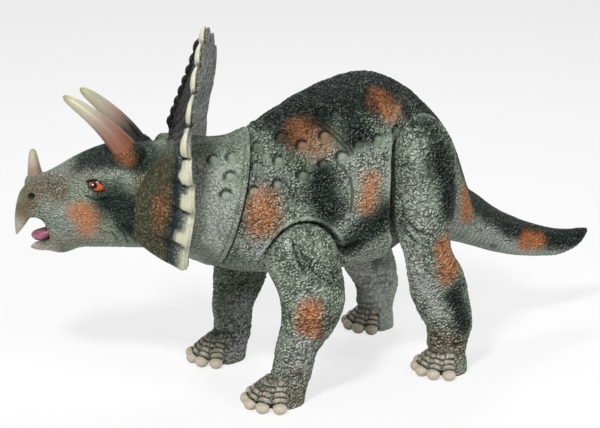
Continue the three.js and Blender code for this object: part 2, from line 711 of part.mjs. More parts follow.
function frill() {
  let body = frillPlate();
  for (let k = 0; k < FRILL_KNOBS; k += 1) {
    const reach = (FRILL_KNOB_END_SHARE - FRILL_KNOB_START_SHARE) * k / (FRILL_KNOBS - 1);
    const sink = FRILL_KNOB_SINK_SHARE * FRILL_KNOB_RADIUS;
    const centre = frillPoint(0, FRILL_KNOB_START_SHARE + reach, sink, 1);
    const place = headPlace.clone().multiply(new THREE.Matrix4().setPosition(centre));
    body = body.add(ball(new THREE.Vector3().setScalar(FRILL_KNOB_RADIUS), FRILL_KNOB_SIDES, place));
  }
  return body.subtract(headOutside(GAP));
}

// Legs. Columns: share of the leg's height from the sole; how far back its middle lies as a share
// of its depth; half depth as a share of its depth; inner and outer face beyond the joint's
// seat as shares of its width. The upper arm is as deep as the round seat that it turns in.
const UPPER_ARM_SHARE = 0.484;
const FRONT_LEG_SHARES = [
  [0.0, -0.36, 0.33, -0.28, 0.78],
  [0.06, -0.33, 0.32, -0.28, 0.78],
  [0.1, -0.26, 0.28, -0.23, 0.73],
  [0.15, -0.185, 0.25, -0.17, 0.71],
  [0.215, -0.155, 0.245, -0.12, 0.73],
  [0.3, -0.135, 0.275, -0.04, 0.79],
  [0.4, -0.035, 0.345, 0.03, 0.9],
  [0.485, 0.025, 0.39, 0.06, 0.97],
  [0.57, 0.065, 0.42, 0.02, 0.97],
  [0.65, 0.06, 0.445, -0.16, 0.9],
  [0.79, 0.0, UPPER_ARM_SHARE, -0.45, 0.77],
  [1.0, 0.0, UPPER_ARM_SHARE, -0.45, 0.74],
];
const HIND_LEG_SHARES = [
  [0.0, 0.345, 0.325, -0.14, 0.82],
  [0.045, 0.345, 0.315, -0.14, 0.82],
  [0.08, 0.35, 0.29, -0.1, 0.76],
  [0.13, 0.4, 0.3, -0.06, 0.71],
  [0.18, 0.41, 0.35, -0.04, 0.71],
  [0.24, 0.32, 0.405, -0.03, 0.73],
  [0.3, 0.235, 0.435, -0.01, 0.74],
  [0.36, 0.15, 0.445, 0.06, 0.81],
  [0.42, 0.055, 0.42, 0.14, 0.89],
  [0.48, -0.04, 0.365, 0.12, 0.91],
  [0.54, -0.085, 0.38, -0.04, 0.89],
  [0.63, -0.07, 0.465, -0.35, 0.85],
  [0.73, -0.035, 0.49, -0.45, 0.8],
  [0.84, -0.03, 0.47, -0.45, 0.75],
  [0.93, -0.03, 0.44, -0.45, 0.66],
  [1.0, -0.03, 0.4, -0.45, 0.6],
];
const LEG_ROUND = 2.3;
const LEG_RINGS = 20;
const LEG_SIDES = 16;
const HIND_CROWN_SHARE = 0.84;
const FRONT_HOLLOW_SHARE = 0.36;
const HIND_HOLLOW_SHARE = 0.22;
const HIP_SEAT_SHARE = 0.625;

const shoulderHeight = shoulders[0].centre.z;
const hipHeight = hips[0].centre.z;

const frontLegPlan = {
  rows: FRONT_LEG_SHARES,
  height: shoulderHeight + SHOULDER_RADIUS,
  depth: SHOULDER_RADIUS / UPPER_ARM_SHARE,
  width: FRONT_LEG_WIDTH,
  crown: shoulderHeight / (shoulderHeight + SHOULDER_RADIUS),
  seatBottom: shoulderHeight - SHOULDER_RADIUS,
  hollowFrom: FRONT_HOLLOW_SHARE,
  swingRoom: (joint, wall) => (
    halfSpace(joint.centre, joint.out).subtract(shoulderCone(joint, -wall))
  ),
};
const hindLegPlan = {
  rows: HIND_LEG_SHARES,
  height: hipHeight + THIGH_RISE,
  depth: HIND_LEG_DEPTH,
  width: HIND_LEG_WIDTH,
  crown: HIND_CROWN_SHARE,
  seatBottom: hipHeight * HIP_SEAT_SHARE,
  hollowFrom: HIND_HOLLOW_SHARE,
  swingRoom: () => halfSpace(new THREE.Vector3(0, 0, CUT_REACH), Z_AXIS),
};

// The leg stands under its joint; above the crown share its section shrinks as a quarter circle.
function legSkin(plan, joint, grow, rings, sides, fromShare) {
  return solid(wrap(rings, sides, (t, turn) => {
    const share = fromShare + (1 - fromShare) * Math.sin(t * QUARTER_TURN);
    const value = (column) => along(plan.rows, column, share);
    const rise = Math.max((share - plan.crown) / (1 - plan.crown), 0);
    const shrink = Math.sqrt(Math.max(1 - rise ** 2, TIP_SHARE ** 2));
    const inner = value(3) * plan.width;
    const outer = value(4) * plan.width;
    const { across, up } = oval(turn, {
      side: (outer - inner) / 2 * shrink + grow,
      above: value(2) * plan.depth * shrink + grow,
      below: value(2) * plan.depth * shrink + grow,
      roundAbove: LEG_ROUND,
      roundBelow: LEG_ROUND,
    });
    return new THREE.Vector3(
      joint.centre.x + joint.side * ((inner + outer) / 2 + across),
      joint.centre.y + value(1) * plan.depth + up,
      share * plan.height + (t === 1 ? grow : 0),
    );
  }));
}

const TOE_TURN_DEGREES = [-55, -22, 10, 40, 72];
const TOE_REACH_SHARE = 0.95;
const TOE_LIFT_SHARE = 0.33;
const TOE_SIDES = 8;

// Toes: blunt lobes in an arc round the front of the foot.
function toes(plan, joint) {
  const foot = (column) => along(plan.rows, column, 0);
  const middle = (foot(3) + foot(4)) / 2 * plan.width;
  const centre = new THREE.Vector3(
    joint.centre.x + joint.side * middle,
    joint.centre.y + foot(1) * plan.depth,
    0,
  );
  const halfDepth = foot(2) * plan.depth * TOE_REACH_SHARE;
  const halfWidth = (foot(4) - foot(3)) / 2 * plan.width * TOE_REACH_SHARE;
  const half = new THREE.Vector3(TOE_WIDTH, TOE_LENGTH, TOE_HEIGHT).divideScalar(2);
  return TOE_TURN_DEGREES.map((degrees) => {
    const angle = THREE.MathUtils.degToRad(degrees);
    const place = new THREE.Matrix4().makeRotationZ(joint.side * angle);
    return ball(half, TOE_SIDES, place.setPosition(
      centre.x + joint.side * Math.sin(angle) * halfWidth,
      centre.y - Math.cos(angle) * halfDepth,
      TOE_LIFT_SHARE * TOE_HEIGHT,
    ));
  });
}

function leg(plan, joint) {
  const seat = joint.centre.clone().addScaledVector(joint.out, GAP);
  const inside = new THREE.Vector3(-joint.side, 0, 0);
  let body = legSkin(plan, joint, 0, LEG_RINGS, LEG_SIDES, 0);
  toes(plan, joint).forEach((toe) => {
    body = body.add(toe);
  });
  const ground = halfSpace(new THREE.Vector3(0, 0, 0), new THREE.Vector3(0, 0, -1));
  const upper = halfSpace(new THREE.Vector3(0, 0, plan.seatBottom), Z_AXIS);
  const seatCut = halfSpace(seat, inside).add(plan.swingRoom(joint, 0)).intersect(upper);
  const innerSeat = seat.clone().addScaledVector(joint.out, WALL);
  const hollow = legSkin(plan, joint, -WALL, HOLLOW_RINGS, HOLLOW_SIDES, plan.hollowFrom)
    .subtract(halfSpace(innerSeat, inside)
      .add(plan.swingRoom(joint, WALL))
      .intersect(halfSpace(new THREE.Vector3(0, 0, plan.seatBottom - WALL), Z_AXIS)));
  const boreEnd = GAP + WALL + CUT_OVERRUN;
  const bore = disc(LEG_STUD_RADIUS + GAP, -CUT_OVERRUN, boreEnd, joint.centre, joint.out, BORE_SIDES);
  return body.subtract(ground).subtract(seatCut).subtract(hollow).subtract(bore);
}

// Joint studs: a flange inside the limb, a shaft through both walls and a ring that holds it.
function stud(centre, direction, { radius, flange, seatGap, torsoWall }) {
  const flangeStart = seatGap + WALL + GAP;
  const end = -(torsoWall + GAP + RING_THICKNESS + STUD_TAIL);
  const profile = [
    [0, end], [radius, end], [radius, flangeStart], [flange, flangeStart],
    [flange, flangeStart + FLANGE_THICKNESS], [0, flangeStart + FLANGE_THICKNESS],
  ];
  return turned(profile, centre, direction, BORE_SIDES);
}

function retainingRing(centre, direction, { radius, ring, torsoWall }) {
  const outer = -(torsoWall + GAP);
  const inner = outer - RING_THICKNESS;
  const bore = radius + GAP;
  const profile = [[bore, inner], [ring, inner], [ring, outer], [bore, outer], [bore, inner]];
  return turned(profile, centre, direction, BORE_SIDES);
}

const legStud = {
  radius: LEG_STUD_RADIUS,
  flange: LEG_FLANGE_RADIUS,
  ring: LEG_RING_RADIUS,
  seatGap: GAP,
  torsoWall: LEG_BOSS_DEPTH,
};
const neckStud = {
  radius: NECK_STUD_RADIUS,
  flange: NECK_FLANGE_RADIUS,
  ring: NECK_RING_RADIUS,
  seatGap: GAP / 2,
  torsoWall: WALL + GAP / 2,
};

function buildFigure() {
  const figure = new THREE.Group();
  figure.add(piece('torso_shell', torsoShell(), SKIN));
  figure.add(piece('tail_shell', tailShell(), SKIN));
  figure.add(piece('head_shell', headShell(), SKIN));
  figure.add(piece('frill', frill(), FRILL_SKIN));
  figure.add(piece('tongue', tongue(), TONGUE));
  figure.add(piece('nose_horn', horn(NOSE_HORN_SHARES, 0, NOSE_HORN_WIDTH), HORN));
  figure.add(piece('neck_stud', stud(neckCentre, neckAxis, neckStud), STUD));
  figure.add(piece('neck_retaining_ring', retainingRing(neckCentre, neckAxis, neckStud), STUD));
  [['left', 1], ['right', -1]].forEach(([name, side]) => {
    figure.add(piece(`brow_horn_${name}`, horn(BROW_HORN_SHARES[name], side, BROW_HORN_WIDTH), HORN));
    figure.add(piece(`eye_${name}`, eyeBall(side, 0), EYE));
  });
  [['front', 'shoulder', shoulders, frontLegPlan], ['hind', 'hip', hips, hindLegPlan]].forEach(
    ([end, jointName, joints, plan]) => {
      joints.forEach((joint) => {
        const { name, centre, out } = joint;
        figure.add(piece(`${end}_leg_${name}`, leg(plan, joint), SKIN));
        figure.add(piece(`${jointName}_stud_${name}`, stud(centre, out, legStud), STUD));
        const ring = retainingRing(centre, out, legStud);
        figure.add(piece(`${jointName}_retaining_ring_${name}`, ring, STUD));
      });
    },
  );
  return figure;
}

// The origin is the middle of the figure's outline on the ground.
const part = new THREE.Group();
const figure = buildFigure();
const middle = new THREE.Box3().setFromObject(figure).getCenter(new THREE.Vector3());
figure.position.set(-middle.x, -middle.y, 0);
part.add(figure);

export default part;
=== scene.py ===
"""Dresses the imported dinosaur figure: skins, frill, horns and eyes with their painted finishes."""

import json
import math

import bpy
import numpy as np
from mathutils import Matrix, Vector
from mathutils.bvhtree import BVHTree


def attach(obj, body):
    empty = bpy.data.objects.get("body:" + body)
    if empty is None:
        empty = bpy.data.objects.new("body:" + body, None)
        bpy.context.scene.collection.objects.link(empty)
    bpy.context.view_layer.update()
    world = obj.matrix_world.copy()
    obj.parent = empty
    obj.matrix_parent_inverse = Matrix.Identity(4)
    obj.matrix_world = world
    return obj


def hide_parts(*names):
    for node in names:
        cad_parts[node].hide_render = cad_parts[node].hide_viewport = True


bl_info = {
    "name": "Jointed dinosaur figure",
    "version": (1, 0, 0),
    "blender": (4, 5, 0),
    "location": "View3D > Sidebar > Figure",
    "description": "Skins, frill, horns and eyes of a jointed toy dinosaur round its packed frame",
    "category": "Object",
}

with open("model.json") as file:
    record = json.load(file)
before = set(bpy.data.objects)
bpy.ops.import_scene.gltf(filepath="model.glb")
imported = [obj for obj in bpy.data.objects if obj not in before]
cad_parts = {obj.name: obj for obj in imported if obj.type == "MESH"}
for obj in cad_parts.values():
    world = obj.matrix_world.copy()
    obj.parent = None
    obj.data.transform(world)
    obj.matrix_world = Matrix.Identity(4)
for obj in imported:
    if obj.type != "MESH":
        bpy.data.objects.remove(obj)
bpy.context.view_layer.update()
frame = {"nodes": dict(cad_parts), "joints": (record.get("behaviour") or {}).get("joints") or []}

# The figure's own frame: millimetres, +Z up, facing -Y, its origin under the middle of the torso.
MM = 1000.0
NECK_MM = np.array([0.0, -61.0, 150.0])
joint_at = {j["name"]: np.array(j["pos_m"]) * MM for j in frame["joints"]}
SHIFT = joint_at["neck_turn"] - NECK_MM
SHOULDER = joint_at["shoulder_left_swing"] - SHIFT
HIP = joint_at["hip_left_swing"] - SHIFT
NECK_AXIS = np.array(next(j["axis"] for j in frame["joints"] if j["name"] == "neck_turn"))
HEAD_TURN = math.radians(32)

# Driving sizes in millimetres, the same as the solids'.
GAP = 0.3
BACK_HEIGHT = 240.0
TORSO_LENGTH = 220.0
HALF_WIDTH = 62.0
TAIL_SEAM = 115.0
TAIL_LENGTH = 173.0
HEAD_LENGTH = 172.0
HEAD_DEPTH = 104.0
HALF_HEAD = 48.0
FRILL_RADIUS = 87.0
FRILL_SWEEP = 50.0
FRILL_ARC = math.radians(153)
SEAT_RADIUS = 31.0
FLARE_RADIUS = 34.0
FLARE_END = 48.0
FLARE_TILT = math.radians(14)
# A shallow groove runs round torso and neck at this distance from the seam between them.
SEAM_GROOVE = 4.6
# Squareness of the ovals of tail, jaw and legs: 2 is an ellipse.
TAIL_SQUARE, JAW_SQUARE, LEG_SQUARE = 2.1, 2.3, 2.3
# The tail is widest at this share of its depth, from below.
TAIL_WIDEST = 0.48
# Steps along the back from one bead of its ridge to the next, and between the tail's bands below.
BEAD_STEP, BAND_STEP = 12, 4.8

# The camera: where it looks from round the figure, and what it looks at.
VIEW_TURN = math.radians(62)
VIEW_RISE = math.radians(17)
VIEW_DISTANCE = 1300.0
VIEW_AIM = np.array([0.0, 0.0, 133.0])
VIEW_FOCAL = 1625.0
PHOTO_WIDTH = 600
PHOTO_MIDDLE = (300.0, 214.0)
SENSOR_WIDTH = 36.0

# Columns: share of the length; back, widest level, belly; half width; sideways shift; squareness below.
TORSO_SHARES = np.array([
    [0.0, 0.862, 0.650, 0.470, 0.66, -0.36, 2],
    [0.1, 0.852, 0.638, 0.433, 0.77, -0.13, 2],
    [0.2, 0.85, 0.625, 0.408, 0.81, 0.0, 2.05],
    [0.3, 0.877, 0.575, 0.396, 0.83, 0.0, 2.5],
    [0.4, 0.922, 0.550, 0.388, 0.87, 0.0, 2.8],
    [0.5, 0.961, 0.570, 0.381, 0.94, 0.0, 2.7],
    [0.6, 0.993, 0.608, 0.379, 0.99, 0.0, 2.6],
    [0.7, 1.01, 0.629, 0.385, 1.0, 0.0, 2.6],
    [0.8, 1.002, 0.654, 0.420, 0.94, 0.0, 2.5],
    [0.9, 0.952, 0.670, 0.442, 0.81, 0.0, 2.3],
    [1.0, 0.869, 0.642, 0.417, 0.7, 0.0, 2.1],
])
# Columns: share of the length; top and underside; half width.
TAIL_SHARES = np.array([
    [0.0, 0.869, 0.417, 0.7],
    [0.05, 0.822, 0.404, 0.68],
    [0.1, 0.742, 0.392, 0.62],
    [0.15, 0.645, 0.379, 0.565],
    [0.2, 0.585, 0.367, 0.51],
    [0.3, 0.53, 0.338, 0.42],
    [0.4, 0.475, 0.31, 0.36],
    [0.5, 0.433, 0.287, 0.31],
    [0.6, 0.398, 0.27, 0.26],
    [0.7, 0.369, 0.257, 0.22],
    [0.8, 0.346, 0.249, 0.175],
    [0.9, 0.334, 0.259, 0.12],
    [0.96, 0.332, 0.28, 0.075],
    [1.0, 0.328, 0.31, 0.02],
])
# Columns: share forward; crown, widest level, jaw; half width.
HEAD_SHARES = np.array([
    [0.0, 0.46, 0.02, -0.44, 0.86],
    [0.09, 0.48, 0.03, -0.43, 0.93],
    [0.17, 0.48, 0.04, -0.4, 0.95],
    [0.26, 0.48, 0.02, -0.365, 0.92],
    [0.36, 0.465, 0.0, -0.325, 0.84],
    [0.465, 0.455, -0.01, -0.33, 0.73],
    [0.535, 0.455, -0.02, -0.335, 0.65],
    [0.59, 0.438, -0.02, -0.34, 0.59],
    [0.685, 0.37, -0.03, -0.35, 0.5],
    [0.78, 0.276, -0.05, -0.405, 0.4],
    [0.85, 0.215, -0.08, -0.39, 0.33],
    [0.9, 0.185, -0.1, -0.385, 0.28],
    [0.94, 0.125, -0.11, -0.36, 0.22],
    [0.97, 0.06, -0.12, -0.33, 0.16],
    [0.99, -0.05, -0.19, -0.30, 0.09],
    [1.0, -0.14, -0.21, -0.27, 0.03],
])
# The roof and the floor of the open mouth. Columns: share forward, height.
ROOF_SHARES = np.array([
    [0.0, -1.0], [0.79, -0.42], [0.812, -0.3], [0.825, -0.2], [0.85, -0.115], [0.915, -0.106],
    [0.94, -0.165], [0.977, -0.25], [1.0, -0.29],
])
FLOOR_SHARES = np.array([
    [0.5, -0.1], [0.78, -0.2], [0.82, -0.275], [0.865, -0.32], [0.9, -0.345], [0.93, -0.36],
])
JAW_TIP_SHARE = 0.928
# Columns: share of the arc; edge radius; how far forward the left and the right edge stand; how far
# the front fills out towards the cheek.
FRILL_SHARES = np.array([
    [0.0, 0.92, 0.38, 0.38, 0.0],
    [0.12, 0.87, 0.38, 0.38, 0.0],
    [0.29, 0.84, 0.4, 0.4, 0.0],
    [0.4, 0.83, 0.43, 0.47, 0.0],
    [0.5, 0.78, 0.49, 0.57, 0.4],
    [0.65, 0.73, 0.48, 0.63, 1.8],
    [0.79, 0.76, 0.47, 0.65, 3.2],
    [0.9, 0.9, 0.56, 0.66, 3.9],
    [1.0, 1.05, 0.66, 0.68, 4.5],
])
# Columns: share of the height; middle, half depth; inner and outer face.
FRONT_LEG_SHARES = np.array([
    [0.0, -0.36, 0.33, -0.28, 0.78],
    [0.06, -0.33, 0.32, -0.28, 0.78],
    [0.1, -0.26, 0.28, -0.23, 0.73],
    [0.15, -0.185, 0.25, -0.17, 0.71],
    [0.215, -0.155, 0.245, -0.12, 0.73],
    [0.3, -0.135, 0.275, -0.04, 0.79],
    [0.4, -0.035, 0.345, 0.03, 0.9],
    [0.485, 0.025, 0.39, 0.06, 0.97],
    [0.57, 0.065, 0.42, 0.02, 0.97],
    [0.65, 0.06, 0.445, -0.16, 0.9],
    [0.79, 0.0, 0.484, -0.45, 0.77],
    [1.0, 0.0, 0.484, -0.45, 0.74],
])
HIND_LEG_SHARES = np.array([
    [0.0, 0.345, 0.325, -0.14, 0.82],
    [0.045, 0.345, 0.315, -0.14, 0.82],
    [0.08, 0.35, 0.29, -0.1, 0.76],
    [0.13, 0.4, 0.3, -0.06, 0.71],
    [0.18, 0.41, 0.35, -0.04, 0.71],
    [0.24, 0.32, 0.405, -0.03, 0.73],
    [0.3, 0.235, 0.435, -0.01, 0.74],
    [0.36, 0.15, 0.445, 0.06, 0.81],
    [0.42, 0.055, 0.42, 0.14, 0.89],
    [0.48, -0.04, 0.365, 0.12, 0.91],
    [0.54, -0.085, 0.38, -0.04, 0.89],
    [0.63, -0.07, 0.465, -0.35, 0.85],
    [0.73, -0.035, 0.49, -0.45, 0.8],
    [0.84, -0.03, 0.47, -0.45, 0.75],
    [0.93, -0.03, 0.44, -0.45, 0.66],
    [1.0, -0.03, 0.4, -0.45, 0.6],
])
# The lip of the flank in front of the thigh: back from the hip in thigh depths, and height.
THIGH_DEPTH = 56.0
HIP_LIP_SHARES = np.array([
    [-0.505, 0.40], [-0.55, 0.50], [-0.645, 0.545], [-0.655, 0.60], [-0.645, 0.68], [-0.61, 0.76],
    [-0.53, 0.83], [-0.41, 0.885], [-0.215, 0.925], [0.04, 0.94], [1.5, 0.94], [1.5, 0.3], [-0.47, 0.3],
])


# Shapes as arrays.


def along(rows, column, share):
    """The value of one column at shares of the way along a table: cubics between rows, whose slope at a
    row is the slope between its neighbours."""
    s, v = rows[:, 0], rows[:, column]
    slope = np.empty_like(v)
    slope[1:-1] = (v[2:] - v[:-2]) / (s[2:] - s[:-2])
    slope[0], slope[-1] = (v[1] - v[0]) / (s[1] - s[0]), (v[-1] - v[-2]) / (s[-1] - s[-2])
    i = np.clip(np.searchsorted(s, share) - 1, 0, len(s) - 2)
    span = s[i + 1] - s[i]
    t = (share - s[i]) / span
    ends = (1 + 2 * t) * (1 - t) ** 2 * v[i] + t**2 * (3 - 2 * t) * v[i + 1]
    return ends + span * t * (1 - t) * ((1 - t) * slope[i] - t * slope[i + 1])


def smooth(low, high, value):
    """0 below low, 1 above high, and a smooth step between."""
    t = np.clip((value - low) / (high - low), 0, 1)
    return t * t * (3 - 2 * t)


def bell(value, middle, width):
    """1 at the middle, and e to the minus square of the distance from it over the width."""
    return np.exp(-(((value - middle) / width) ** 2))


def signed_power(value, exponent):
    """The size of a value raised to an exponent, with the value's own sign."""
    return np.sign(value) * np.abs(value) ** exponent


def oval(turn, side, above, below, round_above, round_below):
    """A point across and up on an oval whose upper and lower halves have their own reach and squareness."""
    c, s = np.cos(turn * math.tau), np.sin(turn * math.tau)
    exponent = np.where(s > 0, 2 / round_above, 2 / round_below)
    return side * signed_power(c, exponent), np.where(s > 0, above, below) * signed_power(s, exponent)


def grid(rings, sides):
    """Shares along (as a column) and turns round (as a row) of a closed tube's grid."""
    return np.linspace(0, 1, rings)[:, None], np.arange(sides)[None, :] / sides


def stack(x, y, z):
    """Points from their three coordinates, each spread over the same grid."""
    return np.stack(np.broadcast_arrays(x, y, z), -1).astype(float)


def head_to_figure(points):
    """Turns points of the head's own frame, which looks along -Y from the neck joint, with the head."""
    c, s = math.cos(HEAD_TURN), math.sin(HEAD_TURN)
    x, y, z = points[..., 0], points[..., 1], points[..., 2]
    return stack(x * c + y * s, y * c - x * s, z) + NECK_MM


def figure_to_head(points):
    """The other way round: points of the figure in the head's own frame."""
    c, s = math.cos(HEAD_TURN), math.sin(HEAD_TURN)
    x, y, z = np.moveaxis(points - NECK_MM, -1, 0)
    return stack(x * c - y * s, y * c + x * s, z)


def torso_points(share, turn):
    """The torso's skin: an oval of the table's size at each share of the length."""
    level = along(TORSO_SHARES, 2, share) * BACK_HEIGHT
    across, up = oval(
        turn,
        along(TORSO_SHARES, 4, share) * HALF_WIDTH,
        along(TORSO_SHARES, 1, share) * BACK_HEIGHT - level,
        level - along(TORSO_SHARES, 3, share) * BACK_HEIGHT,
        2,
        along(TORSO_SHARES, 6, share),
    )
    back = TAIL_SEAM - TORSO_LENGTH * (1 - share)
    return stack(along(TORSO_SHARES, 5, share) * HALF_WIDTH + across, back, level + up)


def tail_points(share, turn):
    """The tail's skin: an oval of the table's size at each share of the length."""
    top, under = (along(TAIL_SHARES, k, share) * BACK_HEIGHT for k in (1, 2))
    below = (top - under) * TAIL_WIDEST
    side = along(TAIL_SHARES, 3, share) * HALF_WIDTH
    across, up = oval(turn, side, top - under - below, below, TAIL_SQUARE, TAIL_SQUARE)
    return stack(across, TAIL_SEAM + GAP + share * TAIL_LENGTH, under + below + up)


def head_points(share, turn):
    """The head's skin in its own frame: an oval of the table's size at each share forward."""
    level = along(HEAD_SHARES, 2, share) * HEAD_DEPTH
    across, up = oval(
        turn,
        along(HEAD_SHARES, 4, share) * HALF_HEAD,
        along(HEAD_SHARES, 1, share) * HEAD_DEPTH - level,
        level - along(HEAD_SHARES, 3, share) * HEAD_DEPTH,
        2,
        JAW_SQUARE,
    )
    return stack(across, -share * HEAD_LENGTH, level + up)


def ahead_of_seam(points):
    """How far points stand in front of the neck's seam plane."""
    return (points - NECK_MM) @ NECK_AXIS


def seam_shares(turn):
    """The share of the torso's length at which each line along it meets the neck's seam plane."""
    share = np.linspace(0, 0.6, 241)[:, None]
    ahead = ahead_of_seam(torso_points(share, turn))
    return np.array([np.interp(0, -ahead[:, j], share[:, 0]) for j in range(turn.shape[1])])


def leg_points(leg, share, turn):
    """A leg's skin under its joint: above the crown share its oval shrinks as a quarter circle."""
    rows, joint, depth, width = leg["rows"], leg["joint"], leg["depth"], leg["width"]
    rise = np.clip((share - leg["crown"]) / (1 - leg["crown"]), 0, 1)
    shrink = np.sqrt(np.maximum(1 - rise**2, 0.0004))
    inner, outer = along(rows, 3, share) * width, along(rows, 4, share) * width
    half = along(rows, 2, share) * depth * shrink
    across, up = oval(turn, (outer - inner) / 2 * shrink, half, half, LEG_SQUARE, LEG_SQUARE)
    y = joint[1] + along(rows, 1, share) * depth + up
    return stack(joint[0] + (inner + outer) / 2 + across, y, share * leg["height"])


def ball_points(centre, half_sizes, turn_degrees, rings, sides):
    """An ellipsoid about a centre, turned about Z, as rings from pole to pole along its length."""
    t, turn = grid(rings, sides)
    reach = np.cos(t * math.pi) * 0.999
    radius = np.sqrt(1 - reach**2)
    local = stack(
        radius * np.cos(turn * math.tau) * half_sizes[0],
        reach * half_sizes[1],
        radius * np.sin(turn * math.tau) * half_sizes[2],
    )
    a = math.radians(turn_degrees)
    x = local[..., 0] * math.cos(a) - local[..., 1] * math.sin(a)
    y = local[..., 0] * math.sin(a) + local[..., 1] * math.cos(a)
    return stack(x, y, local[..., 2]) + centre


# Relief: heights over points, in millimetres.


def hashed(cell, seed):
    """Three numbers from 0 to 1 for each whole-number cell, the same on every run: the cell's three
    numbers and the seed are each multiplied by a large odd number, mixed bit by bit and cut in three."""
    a = cell.astype(np.int64)
    n = (a[..., 0] * 73856093) ^ (a[..., 1] * 19349663) ^ (a[..., 2] * 83492791) ^ (seed * 2654435761)
    n = (n ^ (n >> 13)) * 1274126177 & 0x7FFFFFFF
    parts = [((n >> k) & 1023) / 1023 for k in (0, 10, 20)]
    return np.stack(parts, -1)


def pebbles(points, size, seed):
    """Cellular relief: how far each point is from the edge of its cell, from 0 at the edge to about 1.
    Each cell of a cubic grid holds one scattered centre."""
    scaled = points / size
    base = np.floor(scaled)
    near = np.full(len(points), 9.0)
    second = near.copy()
    for k in np.ndindex(3, 3, 3):
        cell = base + np.array(k) - 1
        far = np.linalg.norm(cell + 0.15 + 0.7 * hashed(cell, seed) - scaled, axis=1)
        second = np.minimum(second, np.maximum(near, far))
        near = np.minimum(near, far)
    return np.clip(second - near, 0, 1)


def swell(points, size, seed):
    """Smooth noise from -1 to 1: hashed values at the corners of a cubic grid, blended smoothly."""
    scaled = points / size
    base = np.floor(scaled)
    t = scaled - base
    t = t * t * (3 - 2 * t)
    total = np.zeros(len(points))
    for k in np.ndindex(2, 2, 2):
        weight = np.prod(np.where(np.array(k) == 1, t, 1 - t), axis=1)
        total += weight * hashed(base + np.array(k), seed)[:, 0]
    return 2 * total - 1


def shake(points, size, seeds):
    """Three swells as one sideways push, from -1 to 1 each way, that makes straight outlines wander."""
    return np.stack([swell(points, size, seed) for seed in seeds], -1)


def spot(points, centre, radius):
    """1 at a centre and 0 from a radius outwards, smoothly."""
    far = np.linalg.norm((points - centre) / np.asarray(radius), axis=1)
    return smooth(1, 0, far)


def path_distance(points, path):
    """The distance from each point to a line of straight pieces."""
    best = np.full(len(points), 1e9)
    for a, b in zip(path[:-1], path[1:]):
        d = b - a
        t = np.clip((points - a) @ d / (d @ d), 0, 1)
        best = np.minimum(best, np.linalg.norm(points - a - t[:, None] * d, axis=1))
    return best


def crease(points, path, width, depth):
    """A groove along a line with a low rounded lip on either side, and how deep in it a point lies."""
    far = path_distance(points, np.asarray(path, float)) / width
    groove = np.exp(-(far**2) * 1.4)
    return depth * (0.5 * np.exp(-((far - 1.6) ** 2) * 1.6) - groove), np.minimum(1.4 * groove, 1)


def studs(points, centres, radius, height):
    """Round buttons, each a dome with a ring groove round it; the painted shadow in the groove, darkest
    above and in front of the button; and how much a point is on a button."""
    total, deep, top = np.zeros((3, len(points)))
    for centre in centres:
        away = (points - centre) / radius
        far = np.linalg.norm(away, axis=1)
        ring = bell(far, 1.12, 0.4)
        total += height * (np.sqrt(np.maximum(1 - far**2, 0)) - 0.6 * ring)
        # Painted shadow: the groove is darkest on its upper, front side, as if shaded by the button.
        shaded = smooth(-0.5, 0.7, away[:, 2] - 0.5 * away[:, 1])
        deep = np.maximum(deep, np.clip(1.2 * ring * (0.15 + 0.85 * shaded), 0.2 * (far < 1.0), 1))
        top = np.maximum(top, smooth(1.5, 0.95, far))
    return total, deep, top


def hide(points, size, seed, stretch=(1, 1, 1)):
    """Moulded hide from 0 to 1: rounded pebbles of uneven outline, each with smaller ones on it, and how
    deep between them a point lies."""
    bent = points / stretch + 0.35 * size * shake(points, 2.2 * size, (seed + 1, seed + 2, seed + 3))
    edge = pebbles(bent, size, seed)
    small = pebbles(bent, size * 0.55, seed + 7)
    dome = np.minimum(edge / 0.55, 1) ** 0.6
    return 0.75 * dome + 0.25 * np.minimum(small / 0.5, 1) ** 0.6, smooth(0.22, 0.0, edge)


def wrinkles(points, size, seed):
    """Winding furrows, 1 at their bottom: they run where a swell crosses its middle."""
    bent = points + 0.3 * size * shake(points, 0.8 * size, (seed + 1, seed + 2, seed + 3))
    return bell(swell(bent, size, seed), 0, 0.16)


def strokes(points, lines, reach, mirrored=True):
    """Airbrush strokes from 0 to 1: each is a line of points, a radius and a strength, softest at its
    outside, with a wandering outline. They are laid on both sides alike where asked."""
    total = np.zeros(len(points))
    bent = points + reach * shake(points, 4.5 * reach, (21, 22, 23))
    for line, radius, strength in lines:
        for flip in ((1, -1) if mirrored else (1,)):
            path = np.asarray(line) * [flip, 1, 1]
            path = path if len(path) > 1 else np.vstack([path, path + 0.01])
            far = path_distance(bent, path) / radius
            total = np.maximum(total, strength * smooth(1.35, 0.1, far))
    return total


def polygon_inside(y, z, outline):
    """Distance inside a closed outline, positive within it."""
    flat = np.stack([np.zeros_like(y), y, z], -1)
    ring = np.column_stack([np.zeros(len(outline) + 1), np.vstack([outline, outline[:1]])])
    far = path_distance(flat, ring)
    inside = np.zeros(len(y), bool)
    for (y0, z0), (y1, z1) in zip(outline, np.roll(outline, -1, 0)):
        crosses = (z0 > z) != (z1 > z)
        if z0 != z1:
            inside ^= crosses & (y < (y1 - y0) * (z - z0) / (z1 - z0) + y0)
    return np.where(inside, far, -far)


# Meshes.


def tube_faces(rings, sides):
    """Quads between the rings of a tube, and a fan over either end from a point at its middle."""
    i, j = np.meshgrid(np.arange(rings - 1), np.arange(sides), indexing="ij")
    k = (j + 1) % sides
    quads = np.stack([i * sides + j, i * sides + k, (i + 1) * sides + k, (i + 1) * sides + j], -1)
    j = np.arange(sides)
    k = (j + 1) % sides
    first, last = rings * sides, rings * sides + 1
    low = np.stack([np.full(sides, first), k, j], -1)
    high = np.stack([np.full(sides, last), (rings - 1) * sides + j, (rings - 1) * sides + k], -1)
    return quads.reshape(-1, 4), np.vstack([low, high])


